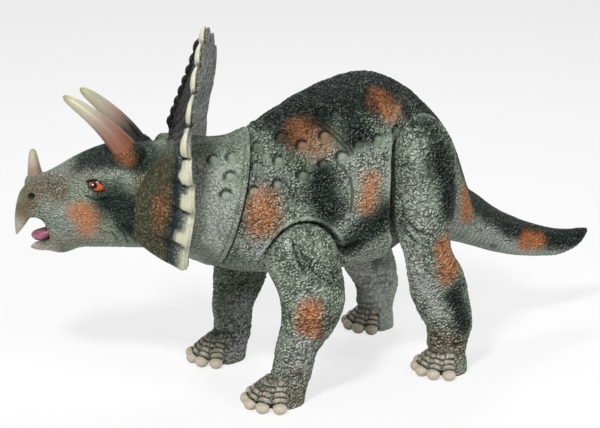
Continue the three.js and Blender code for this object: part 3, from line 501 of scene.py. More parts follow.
def closed_tube(points):
    """A tube's ring points with a middle point over either end, and its faces, which point outwards."""
    rings, sides = points.shape[:2]
    quads, fans = tube_faces(rings, sides)
    every = np.vstack([points.reshape(-1, 3), points[0].mean(0), points[-1].mean(0)])
    tris = np.vstack([quads[:, [0, 1, 2]], quads[:, [0, 2, 3]], fans])
    a, b, c = (every[tris[:, k]] for k in range(3))
    if np.einsum("ij,ij->i", a, np.cross(b, c)).sum() < 0:
        quads, fans = quads[:, ::-1], fans[:, ::-1]
    return every, quads, fans


def new_mesh(name, shells):
    """A mesh in metres from closed shells of points, quads and triangles."""
    points = np.vstack([s[0] for s in shells])
    starts = np.cumsum([0] + [len(s[0]) for s in shells[:-1]])
    quads = np.vstack([s[1] + n for s, n in zip(shells, starts)])
    fans = np.vstack([s[2] + n for s, n in zip(shells, starts)])
    mesh = bpy.data.meshes.new(name)
    mesh.vertices.add(len(points))
    mesh.vertices.foreach_set("co", ((points + SHIFT) / MM).astype(np.float32).ravel())
    corners = np.concatenate([quads.ravel(), fans.ravel()])
    mesh.loops.add(len(corners))
    mesh.loops.foreach_set("vertex_index", corners.astype(np.int32))
    sizes = np.concatenate([np.full(len(quads), 4), np.full(len(fans), 3)])
    mesh.polygons.add(len(sizes))
    mesh.polygons.foreach_set("loop_start", (np.cumsum(sizes) - sizes).astype(np.int32))
    mesh.update(calc_edges=True)
    mesh.validate()
    return mesh


def new_piece(name, mesh):
    """A new object at the origin, which holds a mesh."""
    piece = bpy.data.objects.new(name, mesh)
    bpy.context.scene.collection.objects.link(piece)
    return piece


def joined(name, shells, voxel, rounds):
    """One skin round overlapping closed shells, rebuilt on a fine grid and smoothed."""
    piece = new_piece(name, new_mesh(name, shells))
    remesh = piece.modifiers.new("One skin", "REMESH")
    remesh.mode = "VOXEL"
    remesh.voxel_size = voxel / MM
    relax = piece.modifiers.new("Relax", "SMOOTH")
    relax.factor = 0.5
    relax.iterations = rounds
    view = piece.evaluated_get(bpy.context.evaluated_depsgraph_get())
    mesh = bpy.data.meshes.new_from_object(view)
    piece.modifiers.clear()
    piece.data = mesh
    mesh.name = name
    return piece


def read(piece):
    """A piece's points in the figure's frame, and its outward directions."""
    mesh = piece.data
    points = np.empty(len(mesh.vertices) * 3, np.float32)
    mesh.vertices.foreach_get("co", points)
    normals = np.empty(len(mesh.vertices) * 3, np.float32)
    mesh.vertex_normals.foreach_get("vector", normals)
    return points.reshape(-1, 3).astype(float) * MM - SHIFT, normals.reshape(-1, 3).astype(float)


def write(piece, points):
    """Puts points of the figure's frame into a piece's mesh, and has its faces shaded smoothly."""
    piece.data.vertices.foreach_set("co", ((points + SHIFT) / MM).astype(np.float32).ravel())
    piece.data.update()
    piece.data.polygons.foreach_set("use_smooth", np.ones(len(piece.data.polygons), bool))


def paint(piece, **masks):
    """Keeps each mask on the piece as an attribute of its points, from 0 to 1."""
    for name, values in masks.items():
        layer = piece.data.attributes.new(name, "FLOAT", "POINT")
        layer.data.foreach_set("value", np.clip(values, 0, 1).astype(np.float32))


def view_axes():
    """The directions back to the camera, right and up in the photograph's view."""
    ct, st = math.cos(VIEW_TURN), math.sin(VIEW_TURN)
    cr, sr = math.cos(VIEW_RISE), math.sin(VIEW_RISE)
    back = np.array([st * cr, -ct * cr, sr])
    right = np.array([ct, st, 0.0])
    return back, right, np.cross(back, right)


def seen_at(piece, pixels):
    """Where the photograph's pixels fall on a piece: the first place that each line of sight meets."""
    tree = BVHTree.FromObject(piece, bpy.context.evaluated_depsgraph_get())
    back, right, up = view_axes()
    eye = VIEW_AIM + back * VIEW_DISTANCE
    found = []
    for u, v in pixels:
        ray = -back + right * (u - PHOTO_MIDDLE[0]) / VIEW_FOCAL - up * (v - PHOTO_MIDDLE[1]) / VIEW_FOCAL
        hit = tree.ray_cast(Vector((eye + SHIFT) / MM), Vector(ray).normalized())[0]
        if hit is None:
            hit = tree.find_nearest(Vector((eye + ray * VIEW_DISTANCE + SHIFT) / MM))[0]
        found.append(np.array(hit) * MM - SHIFT)
    return np.array(found)


def both_sides(centres):
    """Places and their mirror images across the figure's middle plane."""
    return np.vstack([centres, centres * [-1, 1, 1]])


# Materials.


class Wire:
    """A number socket of a material. Arithmetic on it adds Math nodes."""

    def __init__(self, shader, socket):
        self.shader, self.socket = shader, socket

    def maths(self, operation, first, second=0.0):
        """One Math node on one value or two, each a wire or a number."""
        return self.shader.node("ShaderNodeMath", {"operation": operation}, {0: first, 1: second})

    def __abs__(self):
        return self.maths("ABSOLUTE", self)

    def __add__(self, other):
        return self.maths("ADD", self, other)

    def __sub__(self, other):
        return self.maths("SUBTRACT", self, other)

    def __rsub__(self, other):
        return self.maths("SUBTRACT", other, self)

    def __mul__(self, other):
        return self.maths("MULTIPLY", self, other)

    __radd__ = __add__
    __rmul__ = __mul__


class Shader:
    """The nodes of a material or of the world, which one method adds."""

    def __init__(self, owner):
        owner.use_nodes = True
        self.owner, self.tree = owner, owner.node_tree
        self.tree.nodes.clear()

    def node(self, kind, settings=None, sockets=None, out=0):
        """Adds a node: its settings first, then its sockets' values or links. Gives one output."""
        made = self.tree.nodes.new(kind)
        for key, value in (settings or {}).items():
            if key == "stops":
                ramp = made.color_ramp
                while len(ramp.elements) < len(value):
                    ramp.elements.new(1.0)
                for element, (at, colour) in zip(ramp.elements, value):
                    element.position, element.color = at, (*colour, 1.0)
            else:
                setattr(made, key, value)
        for key, value in (sockets or {}).items():
            if isinstance(value, Wire):
                self.tree.links.new(value.socket, made.inputs[key])
            else:
                made.inputs[key].default_value = value
        return Wire(self, made.outputs[out]) if made.outputs else made

    def place(self):
        """Where a point lies on its piece, in metres."""
        return self.node("ShaderNodeTexCoord", out="Object")

    def noise(self, vector, scale, detail=3.0, rough=0.55):
        """Smooth noise from 0 to 1. Its scale is how many of its lumps lie in a metre."""
        sockets = {"Vector": vector, "Scale": scale, "Detail": detail, "Roughness": rough}
        return self.node("ShaderNodeTexNoise", {"noise_dimensions": "3D"}, sockets)

    def vector(self, operation, first, second):
        """A Vector Math node on a vector, and on a second one or the number that scales it."""
        socket = "Scale" if operation == "SCALE" else 1
        return self.node("ShaderNodeVectorMath", {"operation": operation}, {0: first, socket: second})

    def warped(self, vector, scale, amount):
        """The place moved about by noise, so that a pattern on it isn't straight."""
        sockets = {"Vector": vector, "Scale": scale, "Detail": 2.0}
        push = self.node("ShaderNodeTexNoise", {}, sockets, out="Color")
        push = self.vector("SUBTRACT", push, (0.5, 0.5, 0.5))
        return self.vector("ADD", vector, self.vector("SCALE", push, amount))

    def grain(self, place, size_mm):
        """Fine moulded grain from 0 in its crevices to 1: beads of a size among winding furrows."""
        bent = self.warped(place, 0.4 * MM / size_mm, size_mm / MM)
        sockets = {"Vector": bent, "Scale": MM / size_mm, "Smoothness": 0.15}
        beads = self.node("ShaderNodeTexVoronoi", {"feature": "SMOOTH_F1"}, sockets)
        furrow = abs(self.noise(place, 0.36 * MM / size_mm, 1.5) - 0.5) * 9.0
        return self.step(1.15 - beads * 1.5, 0.0, 0.9) * (0.2 + self.step(furrow, 0.0, 1.0) * 0.8)

    def spray(self, mask, breakup):
        """An airbrushed mask whose soft outside breaks into specks."""
        specks = self.noise(self.place(), 420.0, 3.0, 0.7) - 0.5
        value = self.mask(mask)
        soft = self.step(value, 0.0, 0.35) * (1.25 - value)
        return self.step(value + specks * breakup * soft * 2.0, 0.05, 0.95)

    def step(self, value, low, high):
        """0 below low and 1 above high, smoothly."""
        return self.node(
            "ShaderNodeMapRange",
            {"interpolation_type": "SMOOTHSTEP"},
            {"Value": value, "From Min": low, "From Max": high, "To Min": 0.0, "To Max": 1.0},
        )

    def mask(self, name):
        """A mask that is kept on the piece, from 0 to 1."""
        return self.node("ShaderNodeAttribute", {"attribute_name": name}, out="Fac")

    def mix(self, first, second, factor, blend="MIX"):
        """Two colours, each a wire or three values, mixed by a factor from 0 to 1."""
        settings = {"data_type": "RGBA", "blend_type": blend}
        colours = [c if isinstance(c, Wire) else (*c, 1.0) for c in (first, second)]
        return self.node("ShaderNodeMix", settings, {0: factor, 6: colours[0], 7: colours[1]}, out=2)

    def finish(self, colour, rough, height, depth, strength, **others):
        """The shader itself, with a bump of a height, its depth in metres and its strength. Its other
        sockets are given by their names."""
        bump = self.node("ShaderNodeBump", {}, {"Strength": strength, "Distance": depth, "Height": height})
        sockets = {"Base Color": colour, "Roughness": rough, "Normal": bump}
        sockets.update({key.replace("_", " "): value for key, value in others.items()})
        surface = self.node("ShaderNodeBsdfPrincipled", {}, sockets)
        self.node("ShaderNodeOutputMaterial", {}, {"Surface": surface})
        return self.owner


def new_shader(name):
    """The nodes of a new material."""
    return Shader(bpy.data.materials.new(name))


def linear(red, green, blue):
    """A colour as a screen shows it, 0 to 255, as scene-linear values."""
    share = np.array([red, green, blue]) / 255
    values = np.where(share <= 0.04045, share / 12.92, ((share + 0.055) / 1.055) ** 2.4)
    return tuple(float(value) for value in values)


WHITE = (1.0, 1.0, 1.0)


def skin_finish(name, props, grain_mm, relief_mm, contrast):
    """Moulded hide in grey-green vinyl under soft airbrushed patches, with painted shade in its crevices
    and painted highlights on its tips. The grain at a place less the grain a little above and in front of
    it gives painted shade where the relief faces down, and a painted highlight where it faces up. The masks
    are kept on the piece: orange, brown, dark, pale, cream, plain and wash."""
    s = new_shader(name)
    place = s.place()
    dark, orange, cream = s.mask("dark"), s.mask("orange"), s.mask("cream")
    plain, wash = s.mask("plain"), s.mask("wash")
    rugged = 1 - plain
    grain = s.grain(place, grain_mm)
    shift = tuple(0.38 * grain_mm / MM * part for part in (0.2, -0.45, 0.87))
    slope = grain - s.grain(s.vector("ADD", place, shift), grain_mm)
    fine = s.noise(place, 1.1 * MM / grain_mm, 2.0, 0.6)
    broad = s.noise(place, 38.0, 2.0)
    patchy = s.step(s.noise(place, 110.0, 2.0), 0.3, 0.6)
    colour = s.mix(tuple(props.vinyl), tuple(props.vinyl_deep), s.step(broad, 0.35, 0.7))
    for paint, amount in (
        (props.belly, s.mask("pale")),
        (props.brown, s.spray("brown", 0.3) * 0.9),
        (props.dark, s.spray("dark", 0.45) * 0.96),
        (props.orange, s.spray("orange", 0.5) * 0.85),
        (props.claw, cream),
    ):
        colour = s.mix(colour, tuple(paint), amount)
    # Painted shade: darker in the hollows, creases, seams and button grooves.
    shade = s.mix(WHITE, (0.02, 0.03, 0.025), wash * 0.97)
    colour = s.mix(colour, shade, 1.0, "MULTIPLY")
    # Painted shade: the grain's crevices are darkened.
    crevice = (1 - s.step(grain + (fine - 0.5) * 0.9, 0.0, 0.42)) * (0.5 + 0.5 * patchy) * rugged
    depth = crevice * contrast * (0.95 - orange * 0.35)
    colour = s.mix(colour, (0.03, 0.045, 0.04), depth, "MULTIPLY")
    colour = s.mix(colour, (0.82, 0.84, 0.82), plain, "MULTIPLY")
    shadow = s.step(slope * -1.0, 0.05, 0.5) * rugged
    colour = s.mix(colour, (0.08, 0.1, 0.09), shadow * contrast * 0.85, "MULTIPLY")
    # Painted highlights: paler on the beads' tips that face up.
    tips = s.step(slope + (fine - 0.5) * 0.5, 0.12, 0.42) * (0.35 + 0.65 * patchy) * rugged
    painted_glint = tips * contrast * (0.5 - dark * 0.4 - orange * 0.2)
    colour = s.mix(colour, linear(226, 236, 222), painted_glint)
    rough = 0.3 + crevice * 0.2 + wash * 0.2
    height = grain * rugged + fine * 0.25
    gloss = tips * (0.5 - dark * 0.38) + cream * 0.2
    coat = {"Coat_Weight": gloss, "Coat_Roughness": 0.16, "Specular_IOR_Level": 0.06}
    return s.finish(colour, rough, height, relief_mm / MM, strength=1.0, **coat)


# What a user may change.


def colour_property(name, description, colour):
    """A colour setting. Its default is given as a screen shows it, 0 to 255."""
    return bpy.props.FloatVectorProperty(
        name=name, description=description, subtype="COLOR", size=3, min=0, max=1, default=linear(*colour)
    )


def length_property(name, description, millimetres):
    """A length setting. Its default is given in millimetres."""
    return bpy.props.FloatProperty(
        name=name, description=description, unit="LENGTH", min=0, default=millimetres / MM
    )


class FigureLook(bpy.types.PropertyGroup):
    """Sizes of the moulded relief and colours of the paint."""

    vinyl: colour_property("Vinyl", "Grey-green of the bare vinyl", (158, 170, 150))
    vinyl_deep: colour_property("Deeper vinyl", "Second tone of the bare vinyl", (118, 131, 113))
    belly: colour_property("Belly", "Pale grey of the throat, belly and shins", (186, 190, 184))
    dark: colour_property("Dark airbrush", "Blue-green black of the back and patches", (8, 26, 25))
    brown: colour_property("Brown airbrush", "Olive brown of the snout, cheeks and ankles", (112, 90, 64))
    orange: colour_property("Orange airbrush", "Orange of the patches", (204, 128, 78))
    claw: colour_property("Claws", "Cream of the claws and the beak", (210, 196, 178))
    tongue: colour_property("Tongue", "Mauve of the tongue", (160, 92, 118))
    iris: colour_property("Eye", "Orange of the eye", (196, 92, 56))
    stud_radius: length_property("Button radius", "Radius of the moulded buttons", 3.9)
    stud_height: length_property("Button height", "How far the buttons stand out", 1.9)
    pebble_size: length_property("Pebble size", "Size of the moulded pebbles", 3.6)
    pebble_height: length_property("Pebble height", "How far the pebbles stand out", 0.7)
    crease_width: length_property("Crease width", "Width of the moulded creases", 1.4)
    crease_depth: length_property("Crease depth", "Depth of the moulded creases", 1.0)


def look():
    """The settings that the scene keeps."""
    return bpy.context.scene.figure_look


def finish_piece(piece, points, masks, material, body, node):
    """Gives a piece its final points, masks and material, and says what it rides on and stands for."""
    write(piece, points)
    paint(piece, **masks)
    piece.data.materials.append(material)
    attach(piece, body)
    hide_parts(node)


# Torso and tail.

# Buttons, as pixels of the photograph.
TORSO_STUDS = [
    (281, 137), (257, 147), (279, 161), (257, 167), (302, 146), (325, 136), (303, 176), (324, 166),
    (342, 157), (278, 185), (254, 192), (321, 113), (397, 132), (378, 140), (359, 145),
]
# Creases, as lines of pixels.
TORSO_CREASES = [
    [(313, 121), (325, 129), (336, 138), (345, 148), (349, 155)],
    [(317, 119), (329, 127), (340, 136), (349, 147), (353, 154)],
    [(334, 158), (343, 168), (350, 178), (353, 192), (351, 212)],
]
# Airbrush strokes: a line of pixels, radius in millimetres, strength.
TORSO_ORANGE = [
    ([(264, 204), (263, 218)], 21, 0.85), ([(304, 133), (318, 142)], 19, 0.52),
    ([(380, 99), (393, 112)], 15, 0.62), ([(370, 184), (366, 202)], 15, 0.72),
]
TORSO_DARK = [
    ([(338, 98), (348, 117), (357, 131)], 20, 0.9), ([(323, 180), (319, 194), (331, 212)], 20, 0.95),
    ([(350, 244), (367, 229), (392, 210)], 18, 0.86), ([(399, 98), (409, 112)], 13, 0.85),
    ([(268, 122), (300, 106)], 17, 0.8), ([(296, 196), (290, 186)], 12, 0.45),
    ([(256, 136), (262, 178)], 11, 0.35), ([(388, 150), (392, 200)], 10, 0.3),
]
TORSO_LIGHT = [
    ([(352, 162), (384, 168)], 20, 0.5), ([(334, 152), (346, 178)], 13, 0.45),
    ([(252, 238), (262, 252)], 15, 0.85), ([(262, 170), (300, 188)], 15, 0.35),
    ([(389, 125), (393, 190)], 9, 0.5), ([(342, 212), (352, 226)], 11, 0.6),
    ([(250, 176), (256, 186)], 10, 0.5),
]
TORSO_BROWN = [([(256, 235), (268, 226)], 15, 0.5), ([(372, 96), (356, 92)], 15, 0.4)]


def pixel_strokes(piece, table):
    """Strokes whose lines of pixels are turned into places on a piece."""
    return [(seen_at(piece, pixels), radius, strength) for pixels, radius, strength in table]


def recessed(points, side):
    """The torso's skin with the four leg seats sunk into it: within a seat's outline no point stands
    further out than the seat, and below the shoulder the seat widens as a cone."""
    out = points[:, 0] * side
    y, z = points[:, 1], points[:, 2]
    radius = np.hypot(y - SHOULDER[1], z - SHOULDER[2])
    seat = SHOULDER[0]
    upper = np.where(out > seat, seat + (out - seat) * smooth(SEAT_RADIUS, SEAT_RADIUS + 1.2, radius), out)
    cone = seat + np.clip(radius - FLARE_RADIUS, 0, None)
    lower = np.minimum(out, np.where(radius < FLARE_END, cone, 1e6))
    below = (y - SHOULDER[1]) * math.sin(FLARE_TILT) - (z - SHOULDER[2]) * math.cos(FLARE_TILT)
    w = smooth(-1, 1, below)
    out = upper * (1 - w) + lower * w
    inside = smooth(-1.6, -0.2, polygon_inside(y, z, hip_lip()))
    seat = HIP[0]
    out = np.where(out > seat, out + (seat - out) * inside, out)
    return np.column_stack([out * side, y, z])


def hip_lip():
    """The lip's outline in millimetres: its shares of the thigh's depth, from the hip, and of the back's
    height."""
    return HIP_LIP_SHARES * [THIGH_DEPTH, BACK_HEIGHT] + [HIP[1], 0]


def dorsal_line():
    """How far back, and how high, the figure's back runs, for reading by interpolation."""
    share = np.linspace(0, 1, 60)
    torso = TAIL_SEAM - TORSO_LENGTH * (1 - share)
    tail = TAIL_SEAM + GAP + TAIL_LENGTH * share[1:]
    heights = np.concatenate([along(TORSO_SHARES, 1, share), along(TAIL_SHARES, 1, share[1:])])
    return np.concatenate([torso, tail]), heights * BACK_HEIGHT


def below_back(points):
    """How far each point lies under the line of the back."""
    return np.interp(points[:, 1], *dorsal_line()) - points[:, 2]


def moulded_studs(piece, base, pixels, props):
    """The buttons at pixels, on both sides: height, the painted shadow in their grooves and how much a
    point is on one.
    """
    centres = both_sides(seen_at(piece, pixels))
    return studs(base, centres, props.stud_radius * MM, props.stud_height * MM)


def moulded_lines(piece, base, lines, props):
    """The creases along lines of pixels, on both sides: height and how deep a point lies."""
    height, deep = np.zeros(len(base)), np.zeros(len(base))
    for pixels in lines:
        line = seen_at(piece, pixels)
        for path in (line, line * [-1, 1, 1]):
            raised, sunk = crease(base, path, props.crease_width * MM, props.crease_depth * MM)
            height, deep = height + raised, np.maximum(deep, sunk)
    return height, deep


def seat_rolls(base):
    """The raised rolls round the shoulder's seat and outside the hip's outline, from 0 to 1: each is a
    bell of the distance from its edge, on the flanks only, and the shoulder's fades out below."""
    y, z = base[:, 1] - SHOULDER[1], base[:, 2] - SHOULDER[2]
    out = np.abs(base[:, 0])
    shoulder = bell(np.hypot(y, z), SEAT_RADIUS + 3, 1.5) * smooth(20, 40, out)
    shoulder = shoulder * smooth(-12, 4, z + 0.25 * y)
    inside = polygon_inside(base[:, 1], base[:, 2], hip_lip())
    return shoulder, bell(inside, -2.6, 1.6) * smooth(15, 35, out)


class FIGURE_OT_torso(bpy.types.Operator):
    """The torso's skin: ovals carried along the table from the neck seam to the tail seam, with buttons,
    creases and pebbles raised on it and the leg seats sunk into it"""

    bl_idname = "figure.torso"
    bl_label = "Torso"

    def execute(self, context):
        props = look()
        t, turn = grid(rings=228, sides=400)
        start = seam_shares(turn)[None, :] + GAP / TORSO_LENGTH
        points = torso_points(start + t * (1 - start), turn)
        piece = new_piece("torso_skin", new_mesh("torso_skin", [closed_tube(points)]))
        base, normals = read(piece)
        behind, from_back = -ahead_of_seam(base), below_back(base)
        upper = smooth(85, 25, from_back)

        height, ring, button = moulded_studs(piece, base, TORSO_STUDS, props)
        lines, groove = moulded_lines(piece, base, TORSO_CREASES, props)
        calm = 1 - button
        stones, pit = hide(base, props.pebble_size * MM, seed=11)
        height += lines + props.pebble_height * MM * (0.55 + 0.75 * upper) * stones * calm
        height += 0.9 * swell(base, 15, 5) * upper + 0.45 * swell(base, 22, 6)
        rugged = np.maximum(0.8 * upper, smooth(20, -50, base[:, 1]))
        rugged = rugged * smooth(0.1, 0.6, swell(base, 30, 31) + 0.6)
        furrow = wrinkles(base, 6.5, seed=41) * rugged * calm
        height -= 0.8 * furrow
        beads = np.abs(np.cos(base[:, 1] / BEAD_STEP * math.pi)) ** 2 * smooth(60, 20, base[:, 1])
        height += 1.8 * bell(base[:, 0], 0, 5) * smooth(12, 0, from_back) * beads
        shoulder_roll, hip_roll = seat_rolls(base)
        height += shoulder_roll + 1.1 * hip_roll - 0.5 * bell(behind, SEAM_GROOVE, 0.8)
        edges = smooth(0, 3, np.abs(behind)) * smooth(0, 2, TAIL_SEAM - base[:, 1])
        moved = base + normals * (height * edges - (1 - edges))[:, None]
        side = np.where(points.reshape(-1, 3)[:, 0] > 0, 1.0, -1.0)
        moved = recessed(moved, np.append(side, [1.0, 1.0]))

        dark = strokes(base, pixel_strokes(piece, TORSO_DARK), 4)
        rump = smooth(-56, -22, base[:, 1])
        dark = np.maximum(dark, 0.97 * smooth(36, 8, from_back + 7 * swell(base, 20, 7)) * rump)
        dark = np.maximum(dark, 0.5 * smooth(62, 20, from_back) * smooth(-58, -20, base[:, 1]))
        belly = smooth(0.62, 0.8, from_back / 150) * (1 - dark)
        light = strokes(base, pixel_strokes(piece, TORSO_LIGHT), 4)
        rolls = np.maximum(shoulder_roll, hip_roll)
        # A line of painted shade along the seam groove.
        seam_shade = 0.55 * bell(behind, SEAM_GROOVE, 0.9)
        masks = {
            "orange": strokes(base, pixel_strokes(piece, TORSO_ORANGE), 4),
            "brown": strokes(base, pixel_strokes(piece, TORSO_BROWN), 5),
            "dark": dark,
            # Pale on the raised rolls round the seats: a painted highlight.
            "pale": np.maximum.reduce([0.5 * belly, 0.5 * rolls, light]),
            "cream": np.zeros(len(base)),
            "plain": np.maximum.reduce([button, 0.8 * rolls, 0.8 * groove]),
            # Painted shade in the pits, button grooves, creases, furrows and the seam groove.
            "wash": np.maximum.reduce([
                pit * (0.1 + 0.3 * upper), ring, 0.8 * groove, 0.6 * furrow, seam_shade
            ]),
        }
        material = skin_finish("torso_vinyl", props, grain_mm=1.75, relief_mm=1.1, contrast=0.9)
        finish_piece(piece, moved, masks, material, "torso", "torso_shell")
        return {"FINISHED"}


TAIL_ORANGE = [([(464, 192), (467, 214)], 10, 0.9), ([(524, 240), (540, 242)], 12, 0.9)]
TAIL_LIGHT = [([(452, 222), (476, 232), (530, 252)], 13, 0.8)]
TAIL_DARK = [([(560, 233), (583, 230)], 11, 0.95), ([(491, 245), (492, 246)], 5, 0.6)]


class FIGURE_OT_tail(bpy.types.Operator):
    """The tail's skin: ovals carried along the table from the seam to the tip, with pebbles and broad
    scales across the underside"""

    bl_idname = "figure.tail"
    bl_label = "Tail"

    def execute(self, context):
        t, turn = grid(rings=210, sides=240)
        piece = new_piece("tail_skin", new_mesh("tail_skin", [closed_tube(tail_points(t, turn))]))
        base, normals = read(piece)
        props = look()
        from_back = below_back(base)
        share = (base[:, 1] - TAIL_SEAM) / TAIL_LENGTH
        size = 1 - 0.7 * np.clip(share, 0, 1)
        under = smooth(0.2, 0.6, -normals[:, 2]) * smooth(0.02, 0.1, share)
        stones, pit = hide(base, 0.8 * props.pebble_size * MM, seed=12)
        height = props.pebble_height * MM * (0.4 + 0.6 * size) * stones * (1 - 0.7 * under)
        height += 0.4 * swell(base, 15, 6) * size
        bands = np.abs(np.sin(base[:, 1] / BAND_STEP * math.pi)) ** 0.6
        height += 0.8 * under * (bands - 0.6)
        ends = smooth(0, 2, base[:, 1] - TAIL_SEAM - GAP)
        moved = base + normals * (height * ends - 0.6 * (1 - ends))[:, None]
        reach = 40 - 18 * np.clip(share, 0, 1)
        dark = smooth(1.0, 0.35, (from_back + 4 * swell(base, 16, 7)) / reach)
        dark = np.maximum(dark * 0.95, strokes(base, pixel_strokes(piece, TAIL_DARK), 3))
        masks = {
            "orange": strokes(base, pixel_strokes(piece, TAIL_ORANGE), 3),
            "brown": np.zeros(len(base)),
            "dark": dark,
            "pale": np.maximum(under * 0.5, strokes(base, pixel_strokes(piece, TAIL_LIGHT), 3)),
            "cream": np.zeros(len(base)),
            "plain": under * 0.6,
            # Painted shade in the pits and between the bands below.
            "wash": np.maximum(pit * 0.3, under * (1 - bands) * 0.6),
        }
        material = skin_finish("tail_vinyl", props, grain_mm=1.8, relief_mm=0.9, contrast=0.85)
        finish_piece(piece, moved, masks, material, "torso", "tail_shell")
        return {"FINISHED"}


# Head.

# Buttons, creases and strokes of neck and head, laid down as the torso's are.
NECK_STUDS = [(213, 160), (232, 157), (230, 177), (226, 196)]
HEAD_CREASES = [
    [(117, 226), (124, 233), (128, 242)], [(123, 224), (131, 231), (136, 241)], [(112, 232), (117, 239)],
    [(130, 226), (139, 235), (146, 245)], [(86, 196), (96, 200), (107, 198)],
]
HEAD_ORANGE = [([(80, 214), (84, 222)], 16, 0.85), ([(120, 152), (124, 158)], 12, 0.55)]
HEAD_DARK = [
    ([(110, 203), (134, 209)], 20, 0.93), ([(118, 214), (132, 226)], 15, 0.85),
    ([(103, 190), (120, 194)], 12, 0.75),
    ([(84, 160), (112, 160), (146, 164)], 13, 0.85), ([(146, 210), (150, 226)], 12, 0.6),
    ([(150, 150), (160, 175)], 13, 0.75),
]
HEAD_LIGHT = [
    ([(78, 172), (98, 168)], 10, 0.45), ([(50, 200), (64, 222)], 15, 0.5),
    ([(110, 176), (130, 178)], 9, 0.3),
    ([(46, 180), (66, 176)], 12, 0.6), ([(56, 236), (96, 238)], 11, 0.5),
]
# The pale stroke down the neck is partly its paint and partly a painted highlight.
NECK_LIGHT = [([(212, 175), (222, 215), (214, 240)], 19, 0.75)]
HEAD_BROWN = [
    ([(28, 196), (44, 186), (58, 190)], 17, 0.75), ([(20, 210), (30, 200)], 14, 0.9),
    ([(36, 220), (58, 240)], 13, 0.55), ([(46, 244), (72, 240), (98, 240)], 12, 0.5),
    ([(64, 178), (92, 170)], 14, 0.45),
    ([(148, 185), (152, 238)], 18, 0.75), ([(98, 215), (104, 232)], 12, 0.5),
]
NECK_DARK = [([(200, 150), (236, 141)], 12, 0.45), ([(204, 250), (212, 262)], 10, 0.4)]
NOSTRIL = (32, 196)
# The eye: share forward and height; tilt; half length and half height of its almond.
EYE_SHARES = (0.581, 0.19)
EYE_TILT = math.radians(20)
EYE_HALF_LENGTH = 7.0
EYE_HALF_HEIGHT = 3.7
# The horns: three points each, as share forward, share of the half width, and height.
BROW_HORNS = {
    "left": [[0.44, 0.36, 0.4], [0.53, 0.4, 0.65], [0.73, 0.31, 0.84]],
    "right": [[0.44, 0.36, 0.38], [0.52, 0.4, 0.635], [0.69, 0.31, 0.835]],
}
NOSE_HORN = [[0.885, 0.0, 0.08], [0.9, 0.0, 0.25], [0.9, 0.0, 0.4]]
# The collar at a horn's root: the horn's points, its side, half sizes, and how far it is raised.
BROW_COLLAR = (11.8, 13.5, 11.8)
COLLARS = (
    (BROW_HORNS["left"], 1, BROW_COLLAR, 0.0),
    (BROW_HORNS["right"], -1, BROW_COLLAR, 0.0),
    (NOSE_HORN, 0, (9.0, 10.5, 9.0), 6.0),
)
# Where the far brow horn's root casts its dark patch, in the head's own frame.
FAR_ROOT = (-17, -76, 42)


def eye_centre(side, sink):
    """The place on the side of the head at the eye's height, in the head's own frame."""
    forward, height = EYE_SHARES
    level, crown = (along(HEAD_SHARES, k, forward) * HEAD_DEPTH for k in (2, 1))
    rise = (height * HEAD_DEPTH - level) / (crown - level)
    across = along(HEAD_SHARES, 4, forward) * HALF_HEAD * math.sqrt(1 - rise**2)
    return np.array([side * (across - sink), -forward * HEAD_LENGTH, height * HEAD_DEPTH])


def almond(back, up):
    """How far out of the eye's almond a place beside it lies: 1 on its edge. It dips to the rear, and is
    lower towards its two ends."""
    b = (back * math.cos(EYE_TILT) - up * math.sin(EYE_TILT)) / EYE_HALF_LENGTH
    u = back * math.sin(EYE_TILT) + up * math.cos(EYE_TILT)
    return np.hypot(b, u / (EYE_HALF_HEIGHT * (1 - 0.4 * np.clip(b, -1, 1) ** 2)))


def from_seam(share, turn):
    """The share forward at which each line of the skull first stands in front of the neck's seam."""
    ahead = ahead_of_seam(head_to_figure(head_points(share, turn))) - GAP
    return np.array([np.interp(0, ahead[:, j], share[:, 0]) for j in range(turn.shape[1])])


def clear_of_seam(points):
    """Points of the head's pieces kept in front of the neck's seam plane."""
    behind = np.minimum(ahead_of_seam(points) - GAP / 2, 0)
    return points - behind[:, None] * NECK_AXIS


def clear_of_seats(points):
    """Points of the neck kept inside the round seats of the shoulders."""
    out = points[:, 0].copy()
    near = np.hypot(points[:, 1] - SHOULDER[1], points[:, 2] - SHOULDER[2]) < SEAT_RADIUS
    for side in (1, -1):
        out = np.where(near & (out * side > SHOULDER[0]), side * SHOULDER[0], out)
    return np.column_stack([out, points[:, 1:]])


def head_strokes(piece, mirror, table):
    """Strokes on both sides of the head: places in its own frame, and its points with the right side
    turned over to the left."""
    marks = [(figure_to_head(seen_at(piece, px)), radius, strength) for px, radius, strength in table]
    return strokes(mirror, marks, 3, mirrored=False)


def head_shells():
    """The shells that the head is joined from: the neck, the skull over the mouth's roof, the jaw under
    its floor and a ball at each horn's root."""
    t, turn = grid(rings=100, sides=140)
    neck = torso_points(t * (seam_shares(turn)[None, :] - GAP / TORSO_LENGTH), turn)
    start = from_seam(np.linspace(0, 0.2, 80)[:, None], turn)[None, :]
    share = start + np.linspace(0, 1, 200)[:, None] * (1 - start)
    skull = head_points(share, turn)
    skull[..., 2] = np.maximum(skull[..., 2], along(ROOF_SHARES, 1, share) * HEAD_DEPTH)
    share = 0.5 + t * (JAW_TIP_SHARE - 0.5) + 0 * turn
    jaw = head_points(share, turn)
    jaw[..., 2] = np.minimum(jaw[..., 2], along(FLOOR_SHARES, 1, share) * HEAD_DEPTH)
    shells = [closed_tube(neck), closed_tube(head_to_figure(skull)), closed_tube(head_to_figure(jaw))]
    for shares, side, half_sizes, raised in COLLARS:
        forward, across, up = shares[0]
        root = (side * across * HALF_HEAD, -forward * HEAD_LENGTH, up * HEAD_DEPTH + raised)
        shells.append(closed_tube(head_to_figure(ball_points(root, half_sizes, 0, rings=24, sides=30))))
    return shells


